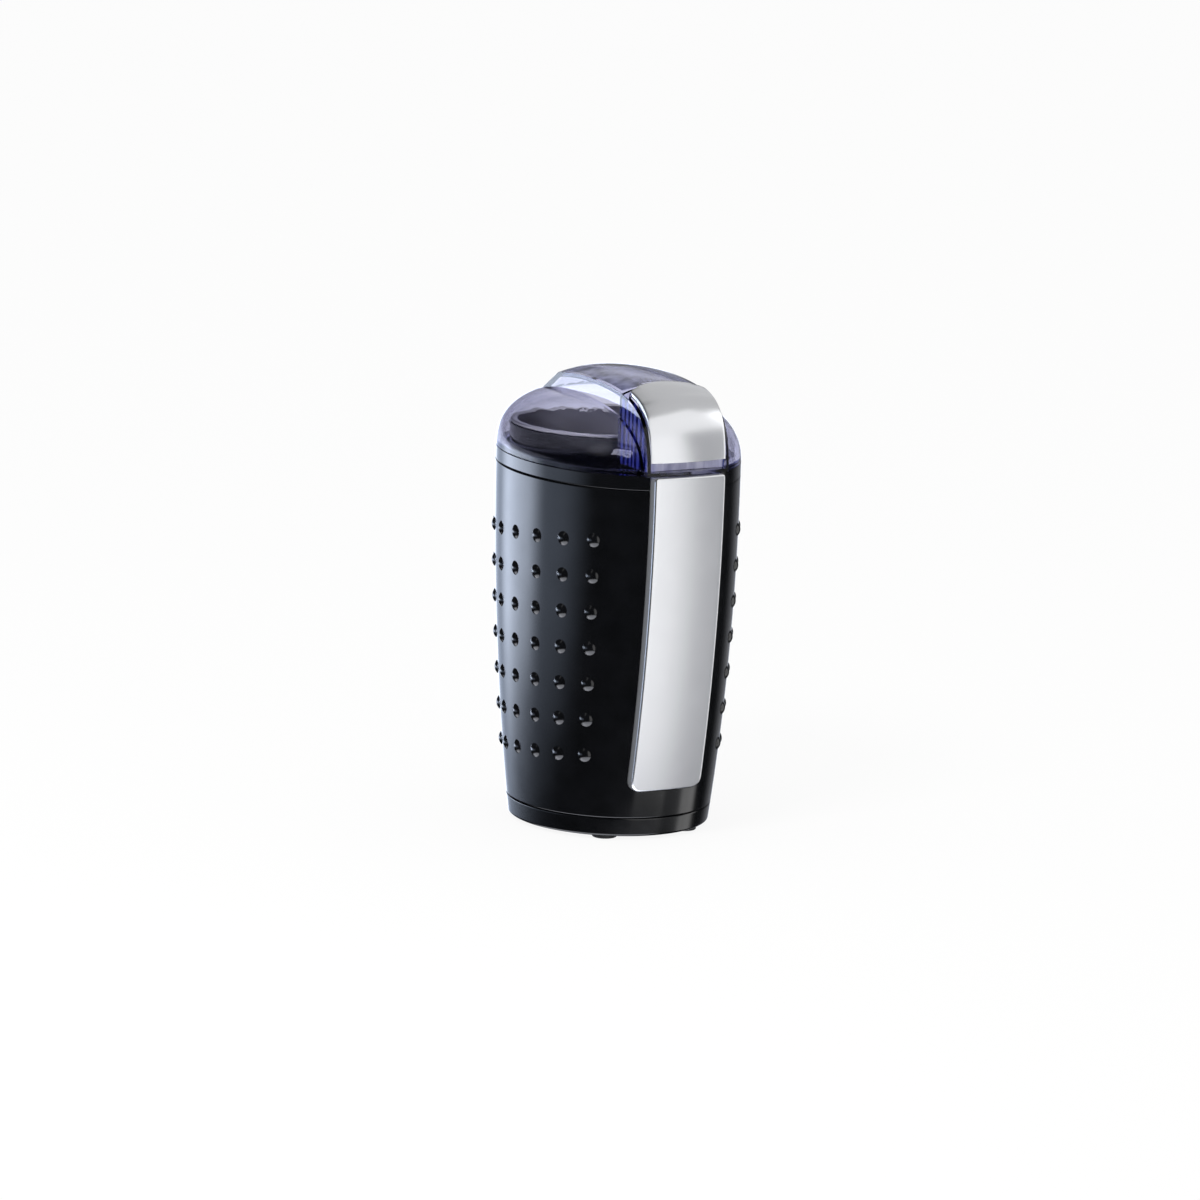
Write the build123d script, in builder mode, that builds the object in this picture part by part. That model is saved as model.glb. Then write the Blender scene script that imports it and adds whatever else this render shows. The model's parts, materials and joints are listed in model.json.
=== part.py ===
from build123d import *
import os
from math import cos, radians, sin

# Electric spice grinder with a press-down panel in its lid.
# Millimetres. The origin is the centre of the foot on the table, +Z is up and
# the front, with the silver strip, faces -Y.

os.makedirs("parts", exist_ok=True)

# Fits
seat_gap = 0.1  # between pieces that are fixed together
slide_gap = 0.3  # round pieces that lift or slide
running_gap = 0.05  # round shafts and rods in their bores
seam_gap = 0.3  # open line between two outer mouldings

# Body shell: an upright oval that bows in towards its foot
rim_height = 150.0
rim_width = 90.6
rim_depth = 121.0
foot_width = 78.6
foot_depth = 86.0
width_bow = 2.35
depth_bow = 2.0
shell_wall = 2.8
lip_height = 5.0  # hidden lip that enters the next moulding
lip_wall = 1.6

# Grip dimples, a grid on each flank
dimple_diameter = 5.7
dimple_rise = 1.2
dimple_rows = 7
dimple_columns = 7
dimple_pitch = 14.6
dimple_angle = 14.7  # between columns, as an angle round the oval
dimple_top = 119.8
row_slope = 0.08  # rows climb towards the front

# Base cover
cover_seam = 9.2
foot_height = 1.5  # the cover's clearance above the table
cover_floor = 2.5
boss_radius = 3.6
boss_height = 12.0
web_length = 14.0  # web from a screw boss to the shell
front_boss_x = 27.0
front_boss_y = -21.0
rear_boss_x = 20.5
rear_boss_y = 28.5
screw_radius = 1.5
screw_head_radius = 2.9
screw_head_height = 1.8
screw_length = 16.0
pad_radius = 5.0
pad_seat = 1.2  # how deep a rubber foot sits in the cover
front_pad_x = 18.0
front_pad_y = -31.0
rear_pad_x = 12.0
rear_pad_y = 34.0
vent_length = 26.0
vent_width = 2.2
vent_pitch = 5.0
vent_count = 7

# Cord inlet in the back wall
inlet_height = 24.0
inlet_bore = 6.8
inlet_wall = 2.0
inlet_flange = 1.6
inlet_length = 8.0

# Front strip
strip_width = 31.4
strip_low = 21.0
strip_stand = 0.9  # how far its middle stands in front of the oval
strip_crown = 0.7  # how much its face bows over its width
strip_wall = 1.8
strip_inlay = 1.0  # depth of the seat in the shell
strip_corner = 4.5
strip_top_corner = 1.2
peg_radius = 1.6
peg_length = 6.0
peg_heights = (55.0, 120.0)

# Collar, deck, neck and motor well: one moulding
collar_height = 5.8
deck_drop = 2.5  # deck below the rim
deck_thick = 2.5
cup_y = 12.0  # cup and motor axis
neck_wall = 2.0
neck_room = 5.2  # from the neck to the shell's widest inside
well_floor = 3.0

# Steel cup
cup_sheet = 0.8
cup_lip = 1.8
cup_lip_height = 1.3
cup_lip_round = 0.4
cup_corner = 9.0
cup_rise = 10.5  # rim of the cup above the lid seam
gasket_height = 2.2
gasket_width = 6.0

# Blade and shaft
shaft_radius = 2.5
shaft_tail = 3.0  # shaft below the fan
seal_radius = 6.0
seal_flange = 2.0
seal_stand = 2.8  # seal above the cup's floor
hub_radius = 5.0
hub_height = 3.0
blade_clear = 5.7  # from the blade's tips to the cup's wall
blade_width = 9.0
blade_sheet = 1.3
blade_bend = 4.0
blade_flat = 11.0
blade_tip = 2.5
nut_width = 8.0
nut_height = 4.0
nut_round = 0.5

# Motor
mount_height = 5.0
mount_radius = 4.5
mount_spread = 13.0
stator_length = 24.0
stator_width = 54.0
stator_depth = 48.0
stator_corner = 5.0
stator_to_bracket = 17.0
air_gap = 0.6
armature_radius = 15.2
armature_slot_depth = 3.0
armature_slot_width = 1.0
coil_overhang = 6.0
coil_inner = 10.5
coil_outer = 16.4
coil_thick = 4.8
bolt_radius = 1.5
bolt_x = 23.2
bolt_y = 20.0
pillar_radius = 3.2
plate_thick = 2.5
bearing_radius = 6.5
bearing_height = 8.0
bearing_wall = 2.0
commutator_radius = 8.0
commutator_height = 11.0
commutator_slots = 12
slot_width = 0.5
slot_depth = 1.0
lower_pillar = 23.0
winding_radius = 12.6
winding_height = 6.0
winding_round = 2.0
fan_radius = 21.0
fan_height = 8.0
fan_plate = 1.4
fan_hub = 6.0
fan_blades = 9
fan_blade_thick = 1.2
fan_edge = 1.0  # blades stop this far inside the plate's edge
fan_stand = 8.0  # fan above the cover's floor
fan_room = 4.8  # from the fan to the lower bearing

# Brushes
brush_width = 5.0
brush_height = 6.0
brush_length = 10.0
holder_wall = 1.0
holder_length = 17.0
holder_gap = 1.5  # holder's mouth from the commutator
holder_foot = 8.0
window_length = 36.0
window_width = 9.0
window_y = 15.3
spring_wire = 0.6

# Switch chain under the deck
plunger_depth = 16.0  # behind the body's front at the seam
plunger_radius = 2.2
plunger_head_radius = 4.2
plunger_head = 3.0
plunger_stand = 2.2  # head above the deck
plunger_length = 29.0
plunger_tip = 2.0
plunger_edge = 0.7
press_travel = 3.0
tower_wall = 1.0
tower_height = 20.0
tower_guide = 7.0
clip_radius = 3.6
clip_thick = 0.7
switch_length = 27.8
switch_width = 10.3
switch_height = 15.9
switch_shift = 3.5  # middle of the case beside the plunger
switch_hole_spacing = 22.2
switch_hole_height = 2.8
switch_button = 0.6
tab_width = 6.3
tab_sheet = 0.8
tab_length = 8.0
tab_count = 3
tab_pitch = 9.0
lever_width = 4.6
lever_sheet = 0.6
lever_arm = 15.5  # from the plunger to the lever's pivot
lever_overhang = 2.6
lever_lift = 3.9  # lever above the switch case
knuckle_wall = 0.7
pivot_radius = 0.7
ear_thick = 1.0
bracket_sheet = 1.6
bracket_clear = 1.0  # from the bracket's flange to the neck
small_screw = 1.2
small_head = 2.4
small_head_height = 1.2

# Parts on the base cover's floor
block_length = 22.0
block_width = 10.0
block_height = 12.0
block_x = -12.0
block_ways = 3
floor_parts_y = -24.0
capacitor_length = 18.0
capacitor_width = 8.0
capacitor_height = 14.0
capacitor_x = 12.0

# Lid: a low dome with a raised hump over its front and middle
dome_rise = 26.0
dome_fullness = 0.652  # handle share of the dome's curve, 0.55 is a circle
dome_wall = 2.0
lid_gap = 0.15
lid_flange = 4.6
lid_flange_height = 1.6
spigot_depth = 2.1
hump_width = 36.4
hump_wall = 1.3
hump_skin = 1.8
hump_setback = 2.2  # its sides behind the body's front
hump_front_crown = 2.2
hump_rise = 31.7
hump_rise_crown = 2.6
hump_apex_y = -7.0
hump_brow_y = 18.0
hump_brow_drop = 2.1
hump_tail_y = 40.0
hump_tail_slope = 0.63
side_fullness = 0.775
middle_fullness = 0.83
chamber_room = 9.9  # from the plunger's axis to the press chamber's back wall
column_radius = 2.4
column_height = 20.0

# Press panel and its mechanism
panel_width = 33.2
panel_low = 5.5  # panel above the lid seam
panel_wall = 1.6
panel_front_crown = 2.0
panel_rise = 33.0
panel_rise_crown = 2.0
panel_fullness = 0.862
panel_clear = 0.4  # from the panel's back to the chamber's wall
panel_back_bow = 3.0
panel_corner = 3.0
rod_radius = 3.0
rod_socket = 2.0
rod_length = 27.0
rod_grip = 7.0  # length held in the panel's boss
guide_plate = 1.5
guide_clear = 1.0  # from the guide's front to the panel's inside
guide_tube_height = 7.0
guide_tube_wall = 1.5
guide_front_height = 5.0
post_x = 10.5
post_shift = 0.5  # spring posts behind the plunger's axis
post_radius = 2.2
post_height = 18.0
sleeve_wall = 1.7
sleeve_low = 12.5  # gap between the guide plate and a sleeve at rest
spring_turns = 5

# Sizes worked out from the driving ones
collar_seam = rim_height - collar_height
deck_top = rim_height - deck_drop
deck_low = deck_top - deck_thick
cup_top = rim_height + cup_rise
well_outer = rim_width / 2 - shell_wall - neck_room
well_radius = well_outer - neck_wall
cup_outer = well_radius - slide_gap
cup_radius = cup_outer - cup_sheet
neck_top = cup_top - cup_lip_height - seat_gap
cover_top = foot_height + cover_floor
fan_low = cover_top + fan_stand
shaft_low = fan_low - shaft_tail
lower_top = fan_low + fan_height + fan_room + bearing_height
lower_low = lower_top - plate_thick
stator_low = lower_top + lower_pillar
stator_top = stator_low + stator_length
bracket_low = stator_top + stator_to_bracket
bracket_top = bracket_low + plate_thick
mount_top = bracket_top + mount_height
well_low = mount_top + seat_gap
well_top = well_low + well_floor
gasket_low = well_top + seat_gap
cup_low = gasket_low + gasket_height
cup_floor = cup_low + cup_sheet
core_low = stator_low + air_gap
core_top = stator_top - air_gap
winding_low = core_low - seat_gap - winding_height
commutator_top = winding_low - 2 * air_gap
commutator_low = commutator_top - commutator_height
brush_middle = commutator_low + commutator_height / 2
holder_low = brush_middle - brush_height / 2 - seat_gap - holder_wall
holder_start = commutator_radius + holder_gap
holder_end = holder_start + holder_length
brush_start = commutator_radius + running_gap
coil_x = armature_radius + air_gap + coil_thick / 2
seal_top = cup_floor + seal_stand
hub_low = seal_top + slide_gap
blade_low = hub_low + hub_height
nut_low = blade_low + blade_sheet
shaft_top = nut_low + nut_height - blade_sheet
tongue_low = cover_seam + seam_gap / 2
over_top = 2 * rim_height
lid_low = rim_height + lid_gap
lid_under = rim_height - lip_height
lid_sill = lid_low + lid_flange_height
guide_low = lid_sill + seat_gap
guide_top = guide_low + guide_plate
hump_front = rim_depth / 2 - hump_setback
guide_front = panel_wall + guide_clear - hump_front
plunger_y = plunger_depth - rim_depth / 2
post_y = plunger_y + post_shift
chamber_back = -plunger_y - chamber_room
panel_back = chamber_back + panel_clear
head_top = deck_top + plunger_stand
rod_low = head_top + slide_gap
rod_top = rod_low + rod_length
panel_foot = rim_height + panel_low
sleeve_foot = guide_top + sleeve_low
tower_radius = plunger_head_radius + 2 * seat_gap + tower_wall
tower_low = deck_low - tower_height
spring_floor = tower_low + tower_guide
plunger_low = head_top - plunger_length
head_low = head_top - plunger_head
lever_top = plunger_low - slide_gap
lever_low = lever_top - lever_sheet
case_top = lever_low - lever_lift
case_low = case_top - switch_height
bracket_face = plunger_y + tower_radius + slide_gap
bracket_flange = cup_y - well_outer - bracket_clear - bracket_face
bracket_screw_y = bracket_face + bracket_sheet + small_head
case_back = bracket_face - seat_gap
case_front = case_back - switch_width

turning_plane = Plane.XZ.offset(-cup_y)


def level(height, y=cup_y, x=0.0):
    """Horizontal plane over a point of the plan, by default the motor's axis."""
    return Plane((x, y, height))


def half_oval(height):
    """Half width and half depth of the outside of the body at a height."""
    drop = max(0.0, 1 - height / rim_height)
    half_width = rim_width / 2 - (rim_width - foot_width) / 2 * drop**width_bow
    half_depth = rim_depth / 2 - (rim_depth - foot_depth) / 2 * drop**depth_bow
    return half_width, half_depth


def oval_body(low, high, inset=0.0, steps=6):
    """Solid oval between two heights, drawn in from the outside by an inset."""
    with BuildPart() as oval:
        for step in range(steps + 1):
            height = low + (high - low) * step / steps
            half_width, half_depth = half_oval(height)
            with BuildSketch(Plane.XY.offset(height)):
                Ellipse(half_width - inset, half_depth - inset)
        loft()
    return oval.part


def lip_ring(low, high):
    """Lip that stands inside the shell's wall between two heights."""
    outer_inset = shell_wall + seat_gap
    with BuildPart() as ring:
        add(oval_body(low, high, outer_inset, steps=2))
        add(oval_body(low, high, outer_inset + lip_wall, steps=2), mode=Mode.SUBTRACT)
    return ring.part


def strip_outline(grow):
    """Front view of the strip, made larger by a margin and run from the axis to the front."""
    low = strip_low - grow
    high = rim_height - seam_gap / 2 + grow
    with BuildPart() as outline:
        with BuildSketch(Plane.XZ) as front:
            with Locations((0, (low + high) / 2)):
                Rectangle(strip_width + 2 * grow, high - low)
            corners = front.vertices().group_by(Axis.Z)
            fillet(corners[0], radius=strip_corner + grow)
            fillet(corners[-1], radius=strip_top_corner)
        extrude(amount=rim_depth)
    return outline.part


def strip_front(inset, steps=6):
    """Wide block whose front follows the strip's face, drawn in by an inset."""
    half = strip_width / 2
    face_radius = (half**2 + strip_crown**2) / (2 * strip_crown)
    reach = half * 1.3
    edge_back = reach**2 / (2 * face_radius)
    low = strip_low - lip_height
    high = rim_height + lip_height
    with BuildPart() as block:
        for step in range(steps + 1):
            height = low + (high - low) * step / steps
            front = inset - half_oval(height)[1] - strip_stand
            with BuildSketch(Plane.XY.offset(height)):
                with BuildLine():
                    ThreePointArc((-reach, front + edge_back), (0, front), (reach, front + edge_back))
                    Polyline(
                        (reach, front + edge_back),
                        (reach, 0),
                        (-reach, 0),
                        (-reach, front + edge_back),
                    )
                make_face()
        loft()
    return block.part


def dimple_points():
    """Centres of the spheres whose caps are the grip dimples."""
    radius = dimple_ball()
    points = []
    for side in (-1, 1):
        for row in range(dimple_rows):
            for column in range(dimple_columns):
                turn = radians(dimple_angle * (column - (dimple_columns - 1) / 2))
                height = dimple_top - dimple_pitch * row
                half_width, half_depth = half_oval(height)
                height -= row_slope * half_depth * sin(turn)
                half_width, half_depth = half_oval(height)
                outward = Vector(cos(turn) / half_width, sin(turn) / half_depth).normalized()
                sunk = radius - dimple_rise
                x = half_width * cos(turn) - outward.X * sunk
                y = half_depth * sin(turn) - outward.Y * sunk
                points.append((side * x, y, height))
    return points


def dimple_ball():
    """Radius of a sphere whose cap has the dimple's diameter and rise."""
    half = dimple_diameter / 2
    return (half**2 + dimple_rise**2) / (2 * dimple_rise)


def boss_places():
    """Plan positions of the four screws that hold the base cover."""
    places = []
    for side in (-1, 1):
        places.append((side * front_boss_x, front_boss_y))
        places.append((side * rear_boss_x, rear_boss_y))
    return places


def pad_places():
    """Plan positions of the four rubber feet."""
    places = []
    for side in (-1, 1):
        places.append((side * front_pad_x, front_pad_y))
        places.append((side * rear_pad_x, rear_pad_y))
    return places


def screw_bosses():
    """Screw posts with webs to the shell, trimmed to stay inside its wall."""
    low = cover_seam + lip_height + seam_gap
    high = low + boss_height
    with BuildPart() as bosses:
        for x, y in boss_places():
            outward = Vector(x, y).normalized()
            with BuildSketch(Plane((x, y, low))):
                Circle(boss_radius)
            extrude(amount=high - low)
            with BuildSketch(Plane((x, y, low), x_dir=(outward.X, outward.Y, 0))):
                with Locations((web_length / 2, 0)):
                    Rectangle(web_length, lip_wall)
            extrude(amount=high - low)
        add(oval_body(low - lip_height, high + lip_height, shell_wall / 2), mode=Mode.INTERSECT)
    return bosses.part


def helical_spring(base, radius, height):
    """Compression spring that stands on a plane."""
    wire = spring_wire / 2
    with BuildPart() as spring:
        with BuildLine():
            coil = Helix(
                pitch=(height - 2 * wire) / spring_turns,
                height=height - 2 * wire,
                radius=radius,
                center=base.origin + base.z_dir * wire,
                direction=base.z_dir,
            )
        with BuildSketch(Plane(coil @ 0, z_dir=coil % 0)):
            Circle(wire)
        sweep(is_frenet=True)
    return spring.part


def lid_dome(inset):
    """The lid's dome as a solid, drawn in by an inset, down into the body."""
    half_width = rim_width / 2 - inset
    half_depth = rim_depth / 2 - inset
    crest = rim_height + dome_rise - inset
    rise = crest - rim_height
    with BuildPart() as dome:
        with BuildSketch(Plane.XZ):
            with BuildLine():
                Line((half_width, lid_under), (half_width, rim_height))
                Bezier(
                    (half_width, rim_height),
                    (half_width, rim_height + dome_fullness * rise),
                    (half_width * dome_fullness, crest),
                    (0, crest),
                )
                Polyline((0, crest), (0, lid_under), (half_width, lid_under))
            make_face()
        revolve(axis=Axis.Z)
        scale(by=(1, half_depth / half_width, 1))
    return dome.part


def arch_loft(half_width, edge, middle, finish):
    """Loft of three side views: one at each flank and a fuller one in the middle.

    A side view is (front, apex height, fullness); finish closes it from the apex to the front's foot.
    """
    with BuildPart() as arch:
        for across, view in ((-half_width, edge), (0, middle), (half_width, edge)):
            front, apex, fullness = view
            reach = hump_apex_y - front
            rise = apex - rim_height
            with BuildSketch(Plane.YZ.offset(across)):
                with BuildLine():
                    Line((front, lid_under), (front, rim_height))
                    Bezier(
                        (front, rim_height),
                        (front, rim_height + fullness * rise),
                        (hump_apex_y - fullness * reach, apex),
                        (hump_apex_y, apex),
                    )
                    finish(front, apex)
                make_face()
        loft()
    return arch.part


def lid_hump(inset, side_inset):
    """The lid's hump as a solid, drawn in by insets, down into the body."""

    def back_of_hump(front, apex):
        brow = (hump_brow_y - inset / 2, apex - hump_brow_drop)
        tail = (hump_tail_y - inset, brow[1] - hump_tail_slope * (hump_tail_y - hump_brow_y))
        TangentArc((hump_apex_y, apex), brow, tangent=(1, 0))
        Polyline(brow, tail, (tail[0], lid_under), (front, lid_under))

    edge = (inset - hump_front, rim_height + hump_rise - inset, side_fullness)
    middle = (edge[0] - hump_front_crown, edge[1] + hump_rise_crown, middle_fullness)
    return arch_loft(hump_width / 2 - side_inset, edge, middle, back_of_hump)


def panel_arch(inset):
    """Block under the press panel's outside face, drawn in by an inset."""

    def square_back(front, apex):
        Polyline((hump_apex_y, apex), (0, apex), (0, lid_under), (front, lid_under))

    edge = (inset - hump_front, rim_height + panel_rise - inset, panel_fullness)
    middle = (edge[0] - panel_front_crown, edge[1] + panel_rise_crown, panel_fullness)
    return arch_loft(panel_width / 2 + slide_gap, edge, middle, square_back)


def panel_outline(grow, low):
    """Plan view of the press panel with a margin, raised from a height through the lid."""
    half = panel_width / 2 + grow
    back = grow - panel_back
    with BuildPart() as outline:
        with BuildSketch(Plane.XY.offset(low)) as plan:
            with BuildLine():
                ThreePointArc((-half, back - panel_back_bow), (0, back), (half, back - panel_back_bow))
                Polyline(
                    (half, back - panel_back_bow),
                    (half, -rim_depth),
                    (-half, -rim_depth),
                    (-half, back - panel_back_bow),
                )
            make_face()
            fillet(plan.vertices().group_by(Axis.Y)[-1], radius=panel_corner + grow)
        extrude(amount=rim_height)
    return outline.part


def block(x_range, y_range, z_range):
    """Plain block between pairs of coordinates."""
    with BuildPart() as box:
        with BuildSketch(Plane.XY.offset(z_range[0])):
            with Locations(((x_range[0] + x_range[1]) / 2, (y_range[0] + y_range[1]) / 2)):
                Rectangle(x_range[1] - x_range[0], y_range[1] - y_range[0])
        extrude(amount=z_range[1] - z_range[0])
    return box.part


# ---- Body mouldings

shell_outside = oval_body(tongue_low, collar_seam - seam_gap / 2)
shell_inside = oval_body(cover_seam - lip_height, collar_seam + lip_height, shell_wall)
strip_seat = strip_outline(slide_gap)
seat_floor = oval_body(strip_low - 2 * lip_height, rim_height + lip_height, strip_inlay)
inlet_y = half_oval(inlet_height)[1]
bosses = screw_bosses()

with BuildPart() as strip_recess:
    add(strip_seat)
    add(seat_floor, mode=Mode.SUBTRACT)

with BuildPart() as main_housing:
    add(shell_outside)
    with Locations(*dimple_points()):
        Sphere(dimple_ball())
    add(shell_inside, mode=Mode.SUBTRACT)
    add(bosses)
    add(strip_recess.part, mode=Mode.SUBTRACT)
    for x, y in boss_places():
        with BuildSketch(Plane((x, y, cover_seam))):
            Circle(screw_radius + seat_gap)
        extrude(amount=screw_length, mode=Mode.SUBTRACT)
    # slot for the cord gland, open to the base cover
    with BuildSketch(Plane.XZ.offset(-inlet_y - lip_height)):
        with Locations((0, inlet_height)):
            Circle(inlet_bore / 2 + inlet_wall)
        with Locations((0, inlet_height / 2)):
            Rectangle(inlet_bore + 2 * inlet_wall, inlet_height)
    extrude(amount=3 * lip_height, mode=Mode.SUBTRACT)
    with BuildSketch(Plane.XZ):
        for height in peg_heights:
            with Locations((0, height)):
                Circle(peg_radius + seat_gap)
    extrude(amount=rim_depth, mode=Mode.SUBTRACT)
main_housing.part.label = "main_housing"
export_step(main_housing.part, "parts/main_housing.step")

# The strip is a shallow tray, open at its back, with pegs that go through the shell
strip_inside = strip_outline(-strip_wall)
strip_inside_front = strip_front(strip_wall)
strip_back = oval_body(strip_low - 2 * lip_height, rim_height + lip_height, strip_inlay - seat_gap)

with BuildPart() as strip_hollow:
    add(strip_inside)
    add(strip_inside_front, mode=Mode.INTERSECT)

with BuildPart() as front_panel:
    add(strip_outline(0))
    add(strip_front(0), mode=Mode.INTERSECT)
    add(strip_back, mode=Mode.SUBTRACT)
    add(strip_hollow.part, mode=Mode.SUBTRACT)
    for height in peg_heights:
        peg_face = half_oval(height)[1]
        with BuildSketch(Plane.XZ.offset(peg_face - peg_length + strip_stand - strip_wall / 2)):
            with Locations((0, height)):
                Circle(peg_radius)
        extrude(amount=peg_length)
front_panel.part.label = "front_panel"
export_step(front_panel.part, "parts/front_panel.step")

with BuildPart() as top_housing:
    add(oval_body(collar_seam + seam_gap / 2, rim_height))
    add(oval_body(deck_top, rim_height + lip_height, shell_wall), mode=Mode.SUBTRACT)
    add(oval_body(collar_seam - lip_height, deck_low, shell_wall), mode=Mode.SUBTRACT)
    add(lip_ring(collar_seam - lip_height, deck_low))
    with BuildSketch(level(well_low)):
        Circle(well_outer)
    extrude(amount=neck_top - well_low)
    with BuildSketch(level(well_top)):
        Circle(well_radius)
    extrude(amount=neck_top - well_top, mode=Mode.SUBTRACT)
    with BuildSketch(level(well_low)):
        Circle(shaft_radius + seal_flange)
        with GridLocations(2 * mount_spread, 2 * mount_spread, 2, 2):
            Circle(screw_radius + seat_gap)
    extrude(amount=well_floor, mode=Mode.SUBTRACT)
    # guide tower of the switch plunger
    with BuildSketch(level(tower_low, plunger_y)):
        Circle(tower_radius)
    extrude(amount=deck_top - tower_low)
    with BuildSketch(level(spring_floor, plunger_y)):
        Circle(tower_radius - tower_wall)
    extrude(amount=deck_top - spring_floor, mode=Mode.SUBTRACT)
    with BuildSketch(level(tower_low, plunger_y)):
        Circle(plunger_radius + running_gap)
    extrude(amount=tower_guide, mode=Mode.SUBTRACT)
    # holes for the switch bracket's screws
    with BuildSketch(level(deck_low, bracket_screw_y, switch_shift)):
        with GridLocations(switch_length / 2, 0, 2, 1):
            Circle(small_screw + seat_gap)
    extrude(amount=deck_thick - lid_gap, mode=Mode.SUBTRACT)
    add(strip_recess.part, mode=Mode.SUBTRACT)
top_housing.part.label = "top_housing"
export_step(top_housing.part, "parts/top_housing.step")

# ---- Base

vent_plane = Plane((0, cup_y, foot_height))

with BuildPart() as base_cover:
    add(oval_body(foot_height, cover_seam - seam_gap / 2))
    add(oval_body(cover_top, cover_seam + lip_height, shell_wall), mode=Mode.SUBTRACT)
    add(lip_ring(cover_top, cover_seam + lip_height))
    for x, y in boss_places():
        with BuildSketch(Plane((x, y, foot_height))):
            Circle(boss_radius)
        extrude(amount=cover_seam + lip_height - foot_height)
        with BuildSketch(Plane((x, y, foot_height))):
            Circle(screw_head_radius + seat_gap)
        extrude(amount=cover_floor, mode=Mode.SUBTRACT)
        with BuildSketch(Plane((x, y, foot_height))):
            Circle(screw_radius + seat_gap)
        extrude(amount=cover_seam + lip_height, mode=Mode.SUBTRACT)
    with BuildSketch(vent_plane):
        with GridLocations(0, vent_pitch, 1, vent_count):
            SlotOverall(vent_length, vent_width)
    extrude(amount=cover_floor, mode=Mode.SUBTRACT)
    for x, y in pad_places():
        with BuildSketch(Plane((x, y, foot_height))):
            Circle(pad_radius + seat_gap)
        extrude(amount=pad_seat, mode=Mode.SUBTRACT)
base_cover.part.label = "base_cover"
export_step(base_cover.part, "parts/base_cover.step")

with BuildPart() as rubber_feet:
    for x, y in pad_places():
        with BuildSketch(Plane((x, y, 0))):
            Circle(pad_radius)
        extrude(amount=foot_height + pad_seat - seat_gap)
    fillet(rubber_feet.edges().group_by(Axis.Z)[0], radius=pad_seat / 2)
rubber_feet.part.label = "rubber_feet"
export_step(rubber_feet.part, "parts/rubber_feet.step")

with BuildPart() as base_screws:
    for x, y in boss_places():
        with BuildSketch(Plane((x, y, foot_height + cover_floor - seat_gap - screw_head_height))):
            Circle(screw_head_radius)
        extrude(amount=screw_head_height)
        with BuildSketch(Plane((x, y, foot_height + cover_floor - seat_gap))):
            Circle(screw_radius)
        extrude(amount=screw_length)
base_screws.part.label = "base_screws"
export_step(base_screws.part, "parts/base_screws.step")

with BuildPart() as gland_tongue:
    with BuildSketch(Plane.XZ.offset(-inlet_y - lip_height)):
        with Locations((0, (inlet_height + tongue_low) / 2)):
            Rectangle(inlet_bore + 2 * inlet_wall - 2 * seat_gap, inlet_height - tongue_low)
    extrude(amount=3 * lip_height)
    add(oval_body(foot_height, 2 * inlet_height), mode=Mode.INTERSECT)
    add(oval_body(foot_height, 2 * inlet_height, shell_wall), mode=Mode.SUBTRACT)

with BuildPart() as cord_gland:
    with BuildSketch(Plane.XZ.offset(-inlet_y - inlet_flange)):
        with Locations((0, inlet_height)):
            Circle(inlet_bore / 2 + 2 * inlet_wall)
    extrude(amount=inlet_length)
    add(oval_body(foot_height, 2 * inlet_height, -seat_gap), mode=Mode.SUBTRACT)
    with BuildSketch(Plane.XZ.offset(-inlet_y - inlet_flange)):
        with Locations((0, inlet_height)):
            Circle(inlet_bore / 2 + inlet_wall - seat_gap)
    extrude(amount=inlet_length)
    add(gland_tongue.part)
    with BuildSketch(Plane.XZ.offset(-inlet_y - inlet_flange)):
        with Locations((0, inlet_height)):
            Circle(inlet_bore / 2)
    extrude(amount=inlet_length, mode=Mode.SUBTRACT)
cord_gland.part.label = "cord_gland"
export_step(cord_gland.part, "parts/cord_gland.step")

with BuildPart() as terminal_block:
    with BuildSketch(Plane((block_x, floor_parts_y, cover_top))):
        Rectangle(block_length, block_width)
    extrude(amount=block_height)
    with BuildSketch(Plane((block_x, floor_parts_y, cover_top + block_height))):
        with GridLocations(block_length / block_ways, 0, block_ways, 1):
            Circle(small_head)
    extrude(amount=-block_height / 2, mode=Mode.SUBTRACT)
terminal_block.part.label = "terminal_block"
export_step(terminal_block.part, "parts/terminal_block.step")

with BuildPart() as capacitor:
    with BuildSketch(Plane((capacitor_x, floor_parts_y, cover_top))):
        RectangleRounded(capacitor_length, capacitor_width, small_screw)
    extrude(amount=capacitor_height)
capacitor.part.label = "capacitor"
export_step(capacitor.part, "parts/capacitor.step")

# ---- Cup and blade

with BuildPart() as cup_hollow:
    with BuildSketch(level(cup_floor)):
        Circle(cup_radius)
    extrude(amount=cup_top - cup_floor + cup_lip)
    fillet(cup_hollow.edges().sort_by(Axis.Z)[0], radius=cup_corner)

with BuildPart() as grinding_cup:
    with BuildSketch(level(cup_low)):
        Circle(cup_outer)
    extrude(amount=cup_top - cup_low)
    fillet(grinding_cup.edges().sort_by(Axis.Z)[0], radius=cup_corner + cup_sheet)
    with BuildSketch(level(cup_top - cup_lip_height)):
        Circle(cup_outer + cup_lip)
    extrude(amount=cup_lip_height)
    fillet(grinding_cup.edges().group_by(Axis.Z)[-1], radius=cup_lip_round)
    add(cup_hollow.part, mode=Mode.SUBTRACT)
    with BuildSketch(level(cup_low)):
        Circle(seal_radius + seat_gap)
    extrude(amount=cup_sheet, mode=Mode.SUBTRACT)
grinding_cup.part.label = "grinding_cup"
export_step(grinding_cup.part, "parts/grinding_cup.step")

with BuildPart() as cup_gasket:
    with BuildSketch(level(gasket_low)):
        Circle(cup_radius - cup_corner - seat_gap)
        Circle(cup_radius - cup_corner - gasket_width, mode=Mode.SUBTRACT)
    extrude(amount=gasket_height - seat_gap)
cup_gasket.part.label = "cup_gasket"
export_step(cup_gasket.part, "parts/cup_gasket.step")

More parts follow.
